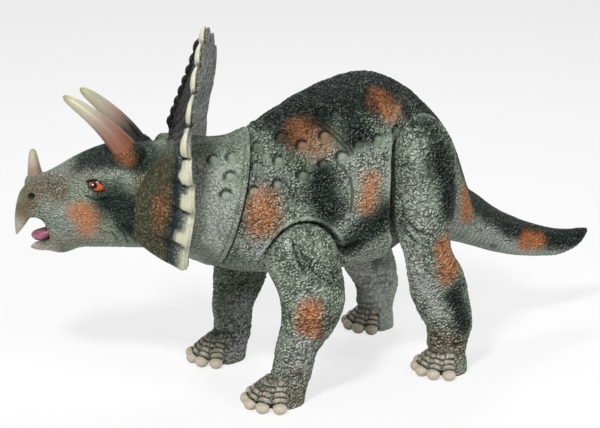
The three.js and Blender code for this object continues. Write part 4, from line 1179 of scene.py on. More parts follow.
def eye_relief(mirror):
    """The lids round the almond and the brow over it: height, and the almond's dark edge."""
    eye = eye_centre(1, 0)
    beside = smooth(12, 6, np.abs(mirror[:, 0] - eye[0]))
    rim = almond(mirror[:, 1] - eye[1], mirror[:, 2] - eye[2])
    brow = eye + np.array([[0, 12, 3], [0, 5, 7.0], [0, -5, 6.5], [0, -13, 2.5]])
    height = beside * (1.5 * bell(rim, 1.25, 0.25) - 2.2 * smooth(1.05, 0.7, rim))
    height += 1.4 * bell(path_distance(mirror, brow), 0, 2.6)
    return height, beside * smooth(1.5, 1.05, rim)


class FIGURE_OT_head(bpy.types.Operator):
    """The head's skin: skull, jaw and neck are ovals carried along their tables and clipped at the mouth's
    roof and floor, joined into one skin with a collar at each horn's root, then lids, nostrils, creases
    and pebbles are raised on it"""

    bl_idname = "figure.head"
    bl_label = "Head"

    def execute(self, context):
        props = look()
        piece = joined("head_skin", head_shells(), voxel=0.95, rounds=4)
        base, normals = read(piece)
        local = figure_to_head(base)
        mirror = np.abs(local[:, :1]) * [1, 0, 0] + local * [0, 1, 1]
        forward, level, ahead = -local[:, 1], local[:, 2], ahead_of_seam(base)

        height, ring, button = moulded_studs(piece, base, NECK_STUDS, props)
        groove = np.zeros(len(base))
        for pixels in HEAD_CREASES:
            raised, sunk = crease(mirror, figure_to_head(seen_at(piece, pixels)), width=1.2, depth=0.9)
            height, groove = height + raised, np.maximum(groove, sunk)
        lids, eye_edge = eye_relief(mirror)
        nostril = figure_to_head(seen_at(piece, [NOSTRIL]))[0]
        hole = np.linalg.norm((mirror - nostril) / [4, 2.8, 2.0], axis=1)
        height += lids + 0.8 * bell(hole, 1.35, 0.4) - 2.0 * smooth(1.0, 0.2, hole)
        beak, on_neck = smooth(150, 162, forward), smooth(62, 40, forward)
        stones, pit = hide(base, 2.7, seed=13)
        rough_neck, neck_pit = hide(base, 4.2, seed=14)
        height += 0.45 * stones * (1 - 0.9 * beak) * (1 - on_neck)
        height += 0.75 * rough_neck * on_neck * (1 - ring)
        height += 0.4 * swell(base, 14, 9) + 0.5 * swell(base, 9, 15) * on_neck
        height -= 0.5 * bell(ahead, SEAM_GROOVE, 0.8)
        height *= smooth(0, 3, ahead - GAP / 2)
        moved = clear_of_seats(clear_of_seam(base + normals * height[:, None]))

        crown_line = np.interp(forward, HEAD_SHARES[:, 0] * HEAD_LENGTH, HEAD_SHARES[:, 1] * HEAD_DEPTH)
        crown = smooth(20, 5, crown_line - level) * smooth(134, 112, forward) * smooth(48, 66, forward)
        dark = np.maximum.reduce([
            head_strokes(piece, mirror, HEAD_DARK),
            strokes(base, pixel_strokes(piece, NECK_DARK), 4),
            0.85 * crown,
            smooth(22, 10, np.linalg.norm(local - FAR_ROOT, axis=1)),
            # The nostril's hollow is darkened: painted shade.
            0.85 * smooth(1.6, 0.9, hole),
            eye_edge,
        ])
        mouth_roof = smooth(-0.2, 0.4, -normals[:, 2]) * smooth(140, 146, forward) * smooth(-30, -24, level)
        throat = smooth(-16, -36, level) * smooth(120, 90, forward)
        beak_cream = 0.75 * smooth(152, 168, forward) * smooth(-4, -22, level)
        lower_beak = 0.8 * smooth(132, 142, forward) * smooth(-30, -36, level)
        # A line of painted shade along the seam groove.
        seam_shade = 0.55 * bell(ahead, SEAM_GROOVE, 0.9)
        masks = {
            "orange": head_strokes(piece, mirror, HEAD_ORANGE),
            "brown": np.maximum.reduce([
                head_strokes(piece, mirror, HEAD_BROWN), 0.8 * mouth_roof, 0.16 * smooth(60, 80, forward)
            ]),
            "dark": dark,
            "pale": np.maximum.reduce([
                0.3 * throat, head_strokes(piece, mirror, HEAD_LIGHT),
                strokes(base, pixel_strokes(piece, NECK_LIGHT), 4),
            ]),
            "cream": np.maximum(beak_cream, lower_beak),
            "plain": np.maximum.reduce([button, 0.8 * beak, 0.8 * groove]),
            # Painted shade in the pits, button grooves, creases and the seam groove.
            "wash": np.maximum.reduce([
                0.3 * pit * (1 - on_neck), 0.4 * neck_pit * on_neck, 0.95 * ring, 0.85 * groove, seam_shade
            ]),
        }
        material = skin_finish("head_vinyl", props, grain_mm=1.3, relief_mm=0.7, contrast=0.6)
        finish_piece(piece, moved, masks, material, "head", "head_shell")
        return {"FINISHED"}


# Frill.

FRILL_POINTS = 17
FRILL_ROOT = 14.0
FRILL_RIM = 3.5
FRILL_CENTRE = 0.48 * HEAD_DEPTH
FRILL_START = 0.05
FRILL_LUMPS = 8
FRILL_LUMP_SIZES = (6.8, 4.7, 4.6)
FRILL_LEAF = 8.0
# The orange patch on either side of the front: share of the arc, and millimetres in from the rim.
FRILL_ORANGE = (0.83, 25)


def frill_points(arc, out, depth, cheek):
    """A point on the frill from its arc, -1 to 1, its share of the way out and its depth: the edge's
    radius and reach come from the table, with rounded points along the edge, and a cheek of 1 fills the
    front out towards the cheek."""
    share = np.abs(arc)
    scallop = np.sin(rim_place(share) ** 1.3 * math.pi) ** 0.7 * out**8
    edge = FRILL_RADIUS * (along(FRILL_SHARES, 1, share) + 0.1 * scallop)
    left, right = (along(FRILL_SHARES, k, share) for k in (2, 3))
    reach = np.where(arc > 0, left, right) * FRILL_SWEEP
    forward = reach + (FRILL_SWEEP - reach) * (1 - out**1.05)
    fullness = cheek * along(FRILL_SHARES, 4, share) * FRILL_SWEEP
    forward = forward + fullness * out**2 * np.maximum(1 - out, 0) ** 0.85
    angle = arc * FRILL_ARC
    across, up = edge * out * np.sin(angle), edge * out * np.cos(angle)
    return stack(across, depth - forward, FRILL_CENTRE + up)


def rim_place(share):
    """A share of the arc as a place on its own rim scale, from 0 to 1."""
    return (share * (FRILL_POINTS - 1) / 2 + 0.5) % 1


class FIGURE_OT_frill(bpy.types.Operator):
    """The frill: a thick shield worked out round a centre above the neck, with lumps up its middle,
    folds fanning out, and a rim of overlapping leaf-shaped scales in front of a plain back"""

    bl_idname = "figure.frill"
    bl_label = "Frill"

    def execute(self, context):
        # Each line of the grid runs out over the front, over the edge and back over the back.
        half, edge = 46, 6
        t = np.linspace(-1, 1, 841)[:, None]
        step = np.linspace(0, 1, half) ** 0.8
        out = np.concatenate([step, np.ones(edge), step[::-1]])[None, :] * (1 - FRILL_START) + FRILL_START
        through = np.concatenate([np.zeros(half), np.linspace(0.1, 0.9, edge), np.ones(half)])[None, :]
        thick = FRILL_ROOT + (FRILL_RIM - FRILL_ROOT) * (out - FRILL_START) / (1 - FRILL_START)
        points = head_to_figure(frill_points(t, out, through * thick, 1 - through))
        piece = new_piece("frill_skin", new_mesh("frill_skin", [closed_tube(points)]))
        base, normals = read(piece)

        def spread(values, ends=(0, 0)):
            """The grid's values as one list, with those of its two end points."""
            return np.concatenate([np.broadcast_to(values, points.shape[:2]).ravel(), ends])

        arcs, outs, depth = spread(t, (-1, 1)), spread(out), spread(through)
        arc = np.abs(arcs)
        front, edge_on = (depth < 0.01) * 1.0, (outs > 0.999) * 1.0
        facing, low = smooth(0.5, 0.3, depth), smooth(0.45, 0.62, arc)
        back = 1 - facing
        # Millimetres along the front from the rim.
        steps = np.linalg.norm(np.diff(points[:, :half], axis=1), axis=2)
        inwards = np.cumsum(steps[:, ::-1], axis=1)[:, ::-1]
        inwards = np.concatenate([inwards, np.zeros((len(t), 1))], axis=1)
        rim = spread(np.concatenate([inwards, np.zeros((len(t), edge)), inwards[:, ::-1]], axis=1))

        radius = FRILL_RADIUS * along(FRILL_SHARES, 1, arc)
        gap = 0.69 / (FRILL_LUMPS - 1)
        near = np.abs((outs - 0.2 + gap / 2) % gap - gap / 2) * radius
        inside = smooth(0.12, 0.18, outs) * smooth(0.97, 0.92, outs)
        lump_across, lump_along, lump_height = FRILL_LUMP_SIZES
        across = arc * FRILL_ARC * outs * radius
        lump = np.sqrt(np.maximum(1 - (across / lump_across) ** 2 - (near / lump_along) ** 2, 0))
        height = front * inside * lump_height * lump

        leaf = rim_place(arc)
        bulge = np.sin(leaf**1.5 * math.pi) ** 0.8
        inward = rim / (FRILL_LEAF * (0.2 + 0.8 * bulge))
        body = smooth(1.0, 0.85, inward)
        height += facing * body * (0.9 + 1.3 * np.sin(np.clip(inward, 0, 1) * math.pi) * bulge)
        notch = smooth(0.12, 0.0, np.minimum(leaf, 1 - leaf)) * smooth(7, 3, rim) * facing
        slit = bell(depth, 0.55, 0.2) * edge_on * smooth(0.6, 0.45, arc)
        height += edge_on * (0.5 - 1.3 * slit) - 1.2 * notch

        plain = (1 - body) * (1 - edge_on)
        stones, pit = hide(base, 2.6, seed=24)
        fan = arcs * 105 + 3.0 * swell(base, 18, 4) + 1.5 * swell(base, 7, 3)
        ridges = np.abs(np.sin(fan / 2)) ** 0.7
        folded = plain * smooth(0.1, 0.35, outs) * (1 - smooth(0.1, 0.4, lump) * front)
        folded = folded * (1 - 0.85 * low * front)
        height += folded * 0.8 * ridges + plain * 0.4 * stones
        height += back * smooth(12, 7, rim) * 0.8 * bulge * (1 - edge_on)
        moved = clear_of_seam(base + normals * height[:, None])

        wander = swell(base, 9, 5)
        near_rim = smooth(11, 6, rim)
        haze = front * low * smooth(20, 10, rim + 2.5 * wander)
        flat = np.column_stack([60 * arc, rim, 0 * arc]) + 1.5 * wander[:, None]
        patch = spot(flat, (60 * FRILL_ORANGE[0], FRILL_ORANGE[1], 0), (11, 15, 9))
        edge_cream = 0.8 * edge_on * smooth(0.45, 0.55, arc)
        masks = {
            "cream": np.maximum(facing * body * (0.55 + 0.45 * bulge), edge_cream),
            "blue": haze * (1 - 0.55 * near_rim),
            "mist": facing * low * near_rim * (1 - body),
            "brown": front * (1 - low) * smooth(5, 8, rim),
            "orange": 0.6 * front * patch,
            "olive": front * low,
            "edge": back * smooth(9, 2, rim) * (1 - slit),
            # Painted shade in the edge's slit, the folds' troughs, the pits and the notches between the
            # scales.
            "wash": np.maximum.reduce([slit, 0.8 * folded * (1 - ridges) ** 2, 0.4 * pit * plain, notch]),
        }
        finish_piece(piece, moved, masks, frill_finish(look()), "head", "frill")
        return {"FINISHED"}


def frill_finish(props):
    """Vinyl with a brown-black front, olive and orange lower down, blue-dark shading inside the rim and
    cream scales."""
    s = new_shader("frill_paint")
    place = s.place()
    grain = s.grain(place, 1.4)
    broad = s.noise(place, 60.0, 3.0)
    fine = s.noise(place, 800.0, 2.0)
    cream = s.mask("cream")
    colour = s.mix(linear(206, 214, 206), linear(164, 174, 168), s.step(broad, 0.35, 0.7))
    colour = s.mix(colour, linear(100, 98, 72), s.mask("olive"))
    brown = s.mix(linear(2, 2, 2), linear(24, 21, 17), s.step(broad + grain * 0.3, 0.65, 1.0))
    colour = s.mix(colour, brown, s.mask("brown"))
    for paint, amount in (
        (tuple(props.orange), s.spray("orange", 0.5) * 0.85),
        (linear(24, 42, 50), s.spray("blue", 0.35) * 0.93),
        (linear(112, 128, 132), s.mask("mist") * 0.7),
        (linear(150, 138, 130), s.mask("edge")),
        (linear(204, 203, 176), cream),
    ):
        colour = s.mix(colour, paint, amount)
    # Painted shade in the slits, notches, pits and the troughs of the folds.
    shade = s.mix(WHITE, (0.1, 0.11, 0.11), s.mask("wash") * 0.9)
    colour = s.mix(colour, shade, 1.0, "MULTIPLY")
    rugged = 1 - cream * 0.9
    # Painted shade: the grain's crevices are darkened.
    low = (1 - s.step(grain + (fine - 0.5) * 0.5, 0.15, 0.6)) * rugged
    colour = s.mix(colour, (0.08, 0.1, 0.1), low * 0.8, "MULTIPLY")
    # Painted highlights: paler on the grain's tops.
    tips = s.step(grain * 0.6 + fine * 0.8, 0.9, 1.05) * rugged
    colour = s.mix(colour, linear(200, 204, 190), tips * 0.25)
    coat = {"Coat_Weight": cream * 0.25 + tips * 0.3, "Coat_Roughness": 0.2, "Specular_IOR_Level": 0.12}
    return s.finish(colour, 0.34 + grain * 0.12, grain * rugged, depth=0.0006, strength=0.9, **coat)


# Horns, tongue, eyes.


def horn_points(shares, side, width, rings, sides):
    """A round section carried along a bent line given by three points, tapering to a blunt tip: the line
    is the quadratic curve over the points, and the radius falls evenly from 1 to 0.34 of the root's."""
    a, b, c = (np.array([side * x * HALF_HEAD, -f * HEAD_LENGTH, u * HEAD_DEPTH]) for f, x, u in shares)
    t, turn = grid(rings, sides)
    place = np.sin(t * math.pi / 2)
    taper = 0.34 + 0.66 * (1 - place)
    rounding = np.sqrt(np.maximum(1 - place**18, 0.0025))
    flutes = 1 + 0.025 * np.cos(turn * math.tau * 9) * (1 - place)
    radius = width / 2 * taper * rounding * flutes
    p = place[..., None]
    centre = (1 - p) ** 2 * a + 2 * p * (1 - p) * b + p**2 * c
    heading = 2 * (1 - p) * (b - a) + 2 * p * (c - b)
    heading /= np.linalg.norm(heading, axis=-1, keepdims=True)
    right = np.cross(heading, [1.0, 0, 0])
    right /= np.linalg.norm(right, axis=-1, keepdims=True)
    up = np.cross(right, heading)
    across, above = radius * np.cos(turn * math.tau), radius * np.sin(turn * math.tau)
    return centre + right * across[..., None] + up * above[..., None], place, turn


def horn_finish(name, root, middle):
    """Cream horn with a coloured root and streaks along it. Reach and the way round are kept on the
    piece."""
    s = new_shader(name)
    length = s.mask("reach")
    sockets = {0: s.mask("wrap_x"), 1: s.mask("wrap_y"), 2: length * 0.22}
    around = s.node("ShaderNodeCombineXYZ", {}, sockets)
    lines = s.noise(around, 7.0, 4.0)
    reach = length + (lines - 0.5) * 0.5 * (1 - length)
    stops = [
        (0.0, root), (0.26, middle), (0.5, linear(150, 126, 110)), (0.7, linear(172, 164, 144)),
        (0.9, linear(172, 170, 140)), (1.0, linear(146, 138, 98)),
    ]
    colour = s.node("ShaderNodeValToRGB", {"stops": stops}, {0: reach})
    fine = s.noise(s.place(), 800.0, 3.0)
    streaks = s.step(lines, 0.5, 0.66) * (1 - length)
    colour = s.mix(colour, (0.3, 0.24, 0.2), streaks * 0.8, "MULTIPLY")
    return s.finish(colour, 0.3 + fine * 0.12, lines * 0.8 + fine * 0.2, depth=0.0005, strength=0.7)


# Each horn: its node, points, side, width, and the colours of its root and of its lower part.
HORNS = (
    ("brow_horn_left", BROW_HORNS["left"], 1, 21.0, (126, 76, 42), (138, 88, 68)),
    ("brow_horn_right", BROW_HORNS["right"], -1, 21.0, (10, 9, 8), (22, 18, 16)),
    ("nose_horn", NOSE_HORN, 0, 15.5, (96, 70, 50), (150, 122, 106)),
)


class FIGURE_OT_horns(bpy.types.Operator):
    """The two brow horns and the nose horn: fluted round sections carried along bent lines"""

    bl_idname = "figure.horns"
    bl_label = "Horns"

    def execute(self, context):
        for node, shares, side, width, root, middle in HORNS:
            points, place, turn = horn_points(shares, side, width, rings=80, sides=72)
            name = node + "_skin"
            piece = new_piece(name, new_mesh(name, [closed_tube(head_to_figure(points))]))
            reach, angle = (
                np.broadcast_to(values, points.shape[:2]).ravel() for values in (place, turn * math.tau)
            )
            masks = {
                "reach": np.append(reach, [0, 1]),
                "wrap_x": np.append(np.cos(angle) / 2 + 0.5, [0.5, 0.5]),
                "wrap_y": np.append(np.sin(angle) / 2 + 0.5, [0.5, 0.5]),
            }
            material = horn_finish(node + "_paint", linear(*root), linear(*middle))
            finish_piece(piece, read(piece)[0], masks, material, "head", node)
        return {"FINISHED"}


# Columns: share of the length; top and underside as shares of the head's depth; share of the half width.
TONGUE_SHARES = np.array([
    [0.0, -0.2, -0.284, 0.85],
    [0.35, -0.215, -0.314, 1.0],
    [0.75, -0.235, -0.312, 0.85],
    [0.95, -0.25, -0.29, 0.45],
    [1.0, -0.262, -0.272, 0.15],
])
TONGUE_HALF_WIDTH = 7.5
TONGUE_REACH = (0.833, 0.925)


class FIGURE_OT_tongue(bpy.types.Operator):
    """The tongue: ovals carried from root to tip, with a groove along the top"""

    bl_idname = "figure.tongue"
    bl_label = "Tongue"

    def execute(self, context):
        t, turn = grid(rings=60, sides=64)
        top, under = (along(TONGUE_SHARES, k, t) * HEAD_DEPTH for k in (1, 2))
        half = (top - under) / 2
        across, up = oval(turn, along(TONGUE_SHARES, 3, t) * TONGUE_HALF_WIDTH, half, half, 2, 2)
        up = np.where(up > 0, up * (1 - 0.35 * bell(across, 0, 1.6)), up)
        root, tip = TONGUE_REACH
        points = stack(across, -(root + t * (tip - root)) * HEAD_LENGTH, (top + under) / 2 + up)
        piece = new_piece("tongue_skin", new_mesh("tongue_skin", [closed_tube(head_to_figure(points))]))
        s = new_shader("tongue_paint")
        place = s.place()
        fine = s.noise(place, 1100.0, 3.0)
        blotches = s.step(s.noise(place, 260.0), 0.4, 0.7)
        colour = s.mix(tuple(look().tongue), linear(118, 62, 84), blotches)
        coat = {"Coat_Weight": 0.3, "Coat_Roughness": 0.2}
        material = s.finish(colour, 0.3 + fine * 0.15, fine, depth=0.0002, strength=0.7, **coat)
        finish_piece(piece, read(piece)[0], {}, material, "head", "tongue")
        return {"FINISHED"}


# The eye's ball: half sizes, and how far it is sunk. The pupil and the glint on it: how far to the front
# and up from its middle, and their radii.
EYE_BALL = (2.7, 7.2, 4.8)
EYE_SINK = 0.6
PUPIL = (2.2, 0.8, 2.9)
GLINT = (3.0, 1.6, 0.8)


def eye_finish():
    """Glossy orange with a mottled iris, under a black mask and a white one, a painted glint."""
    s = new_shader("eye_gloss")
    fine = s.noise(s.place(), 1500.0, 3.0)
    colour = s.mix(tuple(look().iris), linear(160, 52, 28), s.step(fine, 0.4, 0.7) * 0.5)
    colour = s.mix(colour, linear(10, 8, 8), s.mask("pupil"))
    colour = s.mix(colour, linear(240, 240, 236), s.mask("glint"))
    coat = {"Coat_Weight": 0.25, "Coat_Roughness": 0.03, "Specular_IOR_Level": 0.1}
    return s.finish(colour, 0.1 + fine * 0.05, fine, depth=0.00003, strength=0.3, **coat)


def round_mark(back, up, mark, softness):
    """1 on a round mark in front of the eye's middle, and 0 outside its radius, smoothly."""
    ahead, above, radius = mark
    return smooth(radius, radius - softness, np.hypot(back + ahead, up - above))


class FIGURE_OT_eyes(bpy.types.Operator):
    """The eyes: glossy almond balls with a black pupil towards the front and a black rim"""

    bl_idname = "figure.eyes"
    bl_label = "Eyes"

    def execute(self, context):
        material = eye_finish()
        for node, side in (("eye_left", 1), ("eye_right", -1)):
            centre = eye_centre(side, EYE_SINK)
            points = head_to_figure(ball_points(centre, EYE_BALL, 0, rings=72, sides=80))
            piece = new_piece(node + "_ball", new_mesh(node + "_ball", [closed_tube(points)]))
            base = figure_to_head(read(piece)[0])
            back, up = base[:, 1] - centre[1], base[:, 2] - centre[2]
            edge = smooth(0.86, 0.95, almond(back, up))
            pupil = np.maximum(round_mark(back, up, PUPIL, 0.4), edge)
            glint = round_mark(back, up, GLINT, 0.3)
            masks = {"pupil": pupil * (1 - glint), "glint": glint}
            finish_piece(piece, head_to_figure(base), masks, material, "head", node)
        return {"FINISHED"}


# Legs.

# Toes: their turns about the foot in degrees; the step from one knuckle to the next down a toe; how far
# forward and down one millimetre of that step goes; how far ahead of the toe's root, and how high, the
# first knuckle stands; half sizes of the knuckles and the claw, and where the claw stands.
TOE_TURNS = (-58, -27, 4, 35, 68)
KNUCKLE = 4.6
TOE_AHEAD, TOE_DOWN = 0.75, 0.66
TOE_START, TOE_TOP = -9, 17.0
KNUCKLE_WIDTHS = (5.4, 5.9, 6.1, 6.0)
KNUCKLE_HALF_LENGTH = 3.2
CLAW_BALL = (5.7, 5.6, 4.9)
CLAW_AHEAD, CLAW_UP = 5.4, 4.2
SHOULDER_RADIUS = 30
# Each end's leg: its table, joint, depth, width and height; the share of the height where its crown
# starts; the size of its pebbles; the shares of the height where it folds; how dark its inner side is,
# partly its paint and partly painted shade.
LEGS = {
    "front": {
        "rows": FRONT_LEG_SHARES,
        "joint": SHOULDER,
        "depth": SHOULDER_RADIUS / 0.484,
        "width": 34.0,
        "height": SHOULDER[2] + SHOULDER_RADIUS,
        "crown": SHOULDER[2] / (SHOULDER[2] + SHOULDER_RADIUS),
        "pebble": 3.7,
        "bends": (0.5, 0.46, 0.42, 0.19, 0.15),
        "inner_shade_and_paint": 0.45,
    },
    "hind": {
        "rows": HIND_LEG_SHARES,
        "joint": HIP,
        "depth": THIGH_DEPTH,
        "width": 36.0,
        "height": HIP[2] + 41.8,
        "crown": 0.84,
        "pebble": 4.0,
        "bends": (0.41, 0.37, 0.14, 0.11),
        "inner_shade_and_paint": 0.0,
    },
}
# Strokes on the left legs, in pixels of the photograph.
LEG_ORANGE = {
    "front": [([(312, 312), (310, 326)], 15, 1.0)],
    "hind": [([(445, 248), (448, 262), (449, 272)], 14, 1.0), ([(447, 232), (450, 240)], 7, 0.5)],
}
LEG_DARK = {
    "front": [
        ([(268, 256), (275, 240)], 10, 0.4), ([(334, 262), (340, 286)], 10, 0.45),
        ([(280, 296), (284, 318)], 8, 0.35),
    ],
    "hind": [
        ([(423, 122), (436, 132), (444, 160)], 15, 0.7), ([(440, 150), (447, 184), (452, 206)], 17, 0.93),
        ([(456, 292), (461, 312), (463, 326)], 14, 0.93), ([(404, 180), (402, 226)], 8, 0.4),
        ([(436, 228), (440, 238)], 8, 0.35),
    ],
}
LEG_LIGHT = {
    "front": [
        ([(284, 236), (298, 262)], 17, 0.25), ([(274, 322), (268, 372)], 16, 1.0),
        ([(302, 342), (290, 378)], 14, 1.0), ([(318, 292), (306, 300)], 9, 0.5),
    ],
    "hind": [
        ([(412, 188), (420, 232)], 16, 0.6), ([(412, 258), (428, 296)], 14, 0.95),
        ([(434, 300), (442, 334)], 9, 0.9), ([(412, 136), (418, 160)], 9, 0.35),
    ],
}
LEG_BROWN = {
    "front": [([(258, 390), (300, 394)], 17, 0.65), ([(290, 372), (304, 380)], 12, 0.5)],
    "hind": [([(424, 348), (460, 350)], 17, 0.8), ([(436, 334), (456, 338)], 13, 0.65)],
}

# Lines of moulded folds on the left legs, in pixels of the photograph.
LEG_FOLDS = {
    "front": [[(300, 248), (305, 262), (315, 273), (332, 285)], [(293, 244), (297, 260), (306, 274)]],
    "hind": [[(409, 222), (418, 232), (432, 236)], [(407, 232), (416, 242)]],
}


def foot_centre(leg):
    """The middle of the foot's sole, under the leg's lowest oval."""
    back, inner, outer = (along(leg["rows"], k, 0.0) for k in (1, 3, 4))
    across = (inner + outer) / 2 * leg["width"]
    return np.array([leg["joint"][0] + across, leg["joint"][1] + back * leg["depth"], 0])


def toe_shells(leg):
    """Blunt toes in an arc round the front of the foot, each a row of knuckles with a claw at its tip.
    Gives their shells, and each toe's root and heading."""
    half, inner, outer = (along(leg["rows"], k, 0.0) for k in (2, 3, 4))
    half_depth = half * leg["depth"] * 0.95
    half_width = (outer - inner) / 2 * leg["width"] * 0.95
    centre = foot_centre(leg)
    shells, toes = [], []
    for degrees in TOE_TURNS:
        a = math.radians(degrees)
        heading = np.array([math.sin(a), -math.cos(a), 0])
        root = centre + heading * [half_width, half_depth, 0]
        for k, half_wide in enumerate(KNUCKLE_WIDTHS):
            ahead, height = TOE_START + TOE_AHEAD * KNUCKLE * k, TOE_TOP - TOE_DOWN * KNUCKLE * k
            middle = root + heading * ahead + [0, 0, height]
            half_sizes = (half_wide, KNUCKLE_HALF_LENGTH, half_wide)
            shells.append(ball_points(middle, half_sizes, degrees, rings=14, sides=18))
        claw = root + heading * CLAW_AHEAD + [0, 0, CLAW_UP]
        shells.append(ball_points(claw, CLAW_BALL, degrees, rings=14, sides=18))
        toes.append((root, heading))
    return shells, toes


def toe_marks(local, toes):
    """How much each point is on a toe, in a groove of one and on its claw, from 0 to 1. The grooves are
    rings a knuckle apart down the toe, and its two sides."""
    toe, groove, claw = np.zeros((3, len(local)))
    last = (len(KNUCKLE_WIDTHS) - 0.4) * KNUCKLE
    for root, heading in toes:
        ahead = (local - root) @ heading
        beside = np.linalg.norm((local - root) * [1, 1, 0] - ahead[:, None] * heading, axis=1)
        on_toe = smooth(7.5, 5.5, beside) * smooth(-15, -10, ahead) * smooth(24, 18, local[:, 2])
        down = (ahead - TOE_START) * TOE_AHEAD + (TOE_TOP - local[:, 2]) * TOE_DOWN
        rings = (0.5 - 0.5 * np.cos(down / KNUCKLE * math.tau)) ** 2 * smooth(last + 1, last, down)
        toe = np.maximum(toe, on_toe)
        groove = np.maximum.reduce([groove, on_toe * rings, on_toe * smooth(5.0, 6.4, beside)])
        claw = np.maximum(claw, smooth(6.4, 5.6, beside) * smooth(3.5 * KNUCKLE, 3.8 * KNUCKLE, down))
    return toe, groove, claw


def drawn_in(points, centre):
    """A leg whose foot is drawn in at the front, where the toes stand."""
    away = (points - centre) * [1, 1, 0]
    ahead = -away[..., 1] / np.maximum(np.linalg.norm(away, axis=-1), 1e-6)
    share = 0.2 * smooth(26, 14, points[..., 2]) * smooth(0.1, 0.6, ahead)
    return points - away * share[..., None]


def seated(points, end):
    """A leg kept clear of the torso: nothing reaches inside the seat's plane, or the shoulder's cone."""
    joint = LEGS[end]["joint"]
    low = SHOULDER[2] - SHOULDER_RADIUS if end == "front" else HIP[2] * 0.625
    radius = np.hypot(points[:, 1] - joint[1], points[:, 2] - joint[2])
    cone = np.clip(radius - 33, 0, 14) if end == "front" else 0
    limit = joint[0] + GAP + cone
    out = np.where(points[:, 2] > low, np.maximum(points[:, 0], limit), points[:, 0])
    return np.column_stack([out, points[:, 1], np.maximum(points[:, 2], 0)])


def bend_folds(base, local, leg):
    """Folds round the leg at its bends, from 0 to 1: bells of the height about wandering lines, each kept
    only where a swell is high."""
    folds = np.zeros(len(base))
    for bend in leg["bends"]:
        level = leg["height"] * bend + 0.12 * (local[:, 1] - leg["joint"][1]) + 2.5 * swell(base, 16, 6)
        held = smooth(0.0, 0.5, swell(base, 22, 12 + int(bend * 100)))
        folds = np.maximum(folds, held * bell(local[:, 2], level, 1.2))
    return folds


def leg_shell(end, name, side):
    """The plain skin of one leg, and its toes' roots and headings."""
    leg = LEGS[end]
    t, turn = grid(rings=150, sides=110)
    points = drawn_in(leg_points(leg, np.sin(t * math.pi / 2), turn), foot_centre(leg))
    points = seated(points.reshape(-1, 3), end).reshape(points.shape)
    balls, toes = toe_shells(leg)
    shells = [closed_tube(shell * [side, 1, 1]) for shell in [points, *balls]]
    return joined(name + "_skin", shells, voxel=0.8, rounds=2), toes


def dress_leg(end, name, side, piece, toes, marks, fold_lines):
    """Raises the relief on one leg and paints it. The strokes and the lines of its folds are those of
    the left leg, turned over for the right one."""
    leg, over = LEGS[end], [side, 1, 1]
    base, normals = read(piece)
    local, facing = base * over, normals * over

    calm = smooth(0.03, 0.11, local[:, 2] / leg["height"])
    stones, pit = hide(base, leg["pebble"], seed=17 + side, stretch=(1, 1, 1.35))
    height = 0.7 * stones * calm + 0.6 * swell(base, 14, 4) * calm
    furrow = wrinkles(base, 6.0, seed=43) * calm * smooth(0.1, 0.6, swell(base, 26, 33) + 0.5)
    folds = bend_folds(base, local, leg)
    height -= 0.8 * furrow + 0.9 * folds
    for line in fold_lines:
        raised, deep = crease(base, line * over, width=1.5, depth=1.4)
        height, folds = height + raised, np.maximum(folds, deep)
    toe, groove, claw = toe_marks(local, toes)
    height = height * (1 - toe) - groove * (1 - claw)
    by_seat = smooth(16, 8, local[:, 0] - leg["joint"][0]) * (local[:, 2] > leg["height"] * 0.45)
    height = height * (1 - by_seat) - 0.5 * by_seat
    moved = seated(local + facing * height[:, None], end) * over

    orange, dark, brown, light = (
        strokes(base, [(line * over, radius, strength) for line, radius, strength in group], 4, False)
        for group in marks
    )
    inner = smooth(0.3, -0.6, facing[:, 0])
    under = inner * (end == "hind")
    # Paler on the knuckles' tops: a painted highlight.
    knuckle_highlight = toe * (1 - groove)
    masks = {
        "orange": orange,
        "brown": np.maximum(brown, toe * 0.5),
        # The front legs' inner sides are darker: partly their paint, partly painted shade.
        "dark": np.maximum(dark * (1 - under), leg["inner_shade_and_paint"] * inner * (1 - toe)),
        "pale": np.maximum.reduce([light, 0.7 * knuckle_highlight, 0.8 * under]),
        "cream": np.maximum(claw * smooth(10.5, 6, local[:, 2]), 0.7 * knuckle_highlight),
        "plain": np.maximum.reduce([claw, 0.6 * toe, 0.5 * under]),
        # Painted shade in the pits, furrows, folds and the grooves between the knuckles.
        "wash": np.maximum.reduce([
            0.35 * pit * calm, 0.6 * furrow, 0.8 * folds, 0.95 * groove * (1 - claw)
        ]),
    }
    material = skin_finish(name + "_vinyl", look(), grain_mm=1.95, relief_mm=1.1, contrast=0.8)
    finish_piece(piece, moved, masks, material, name, name)


class FIGURE_OT_legs(bpy.types.Operator):
    """The four legs: ovals carried up their tables and rows of toe knuckles, joined into one skin each,
    with wrinkles at the joints and pebbles raised on it"""

    bl_idname = "figure.legs"
    bl_label = "Legs"

    def execute(self, context):
        for end in LEGS:
            left, right = f"{end}_leg_left", f"{end}_leg_right"
            piece, toes = leg_shell(end, left, 1)
            tables = (LEG_ORANGE[end], LEG_DARK[end], LEG_BROWN[end], LEG_LIGHT[end])
            marks = [pixel_strokes(piece, table) for table in tables]
            folds = [seen_at(piece, line) for line in LEG_FOLDS[end]]
            dress_leg(end, left, 1, piece, toes, marks, folds)
            piece, toes = leg_shell(end, right, -1)
            dress_leg(end, right, -1, piece, toes, marks, folds)
        return {"FINISHED"}


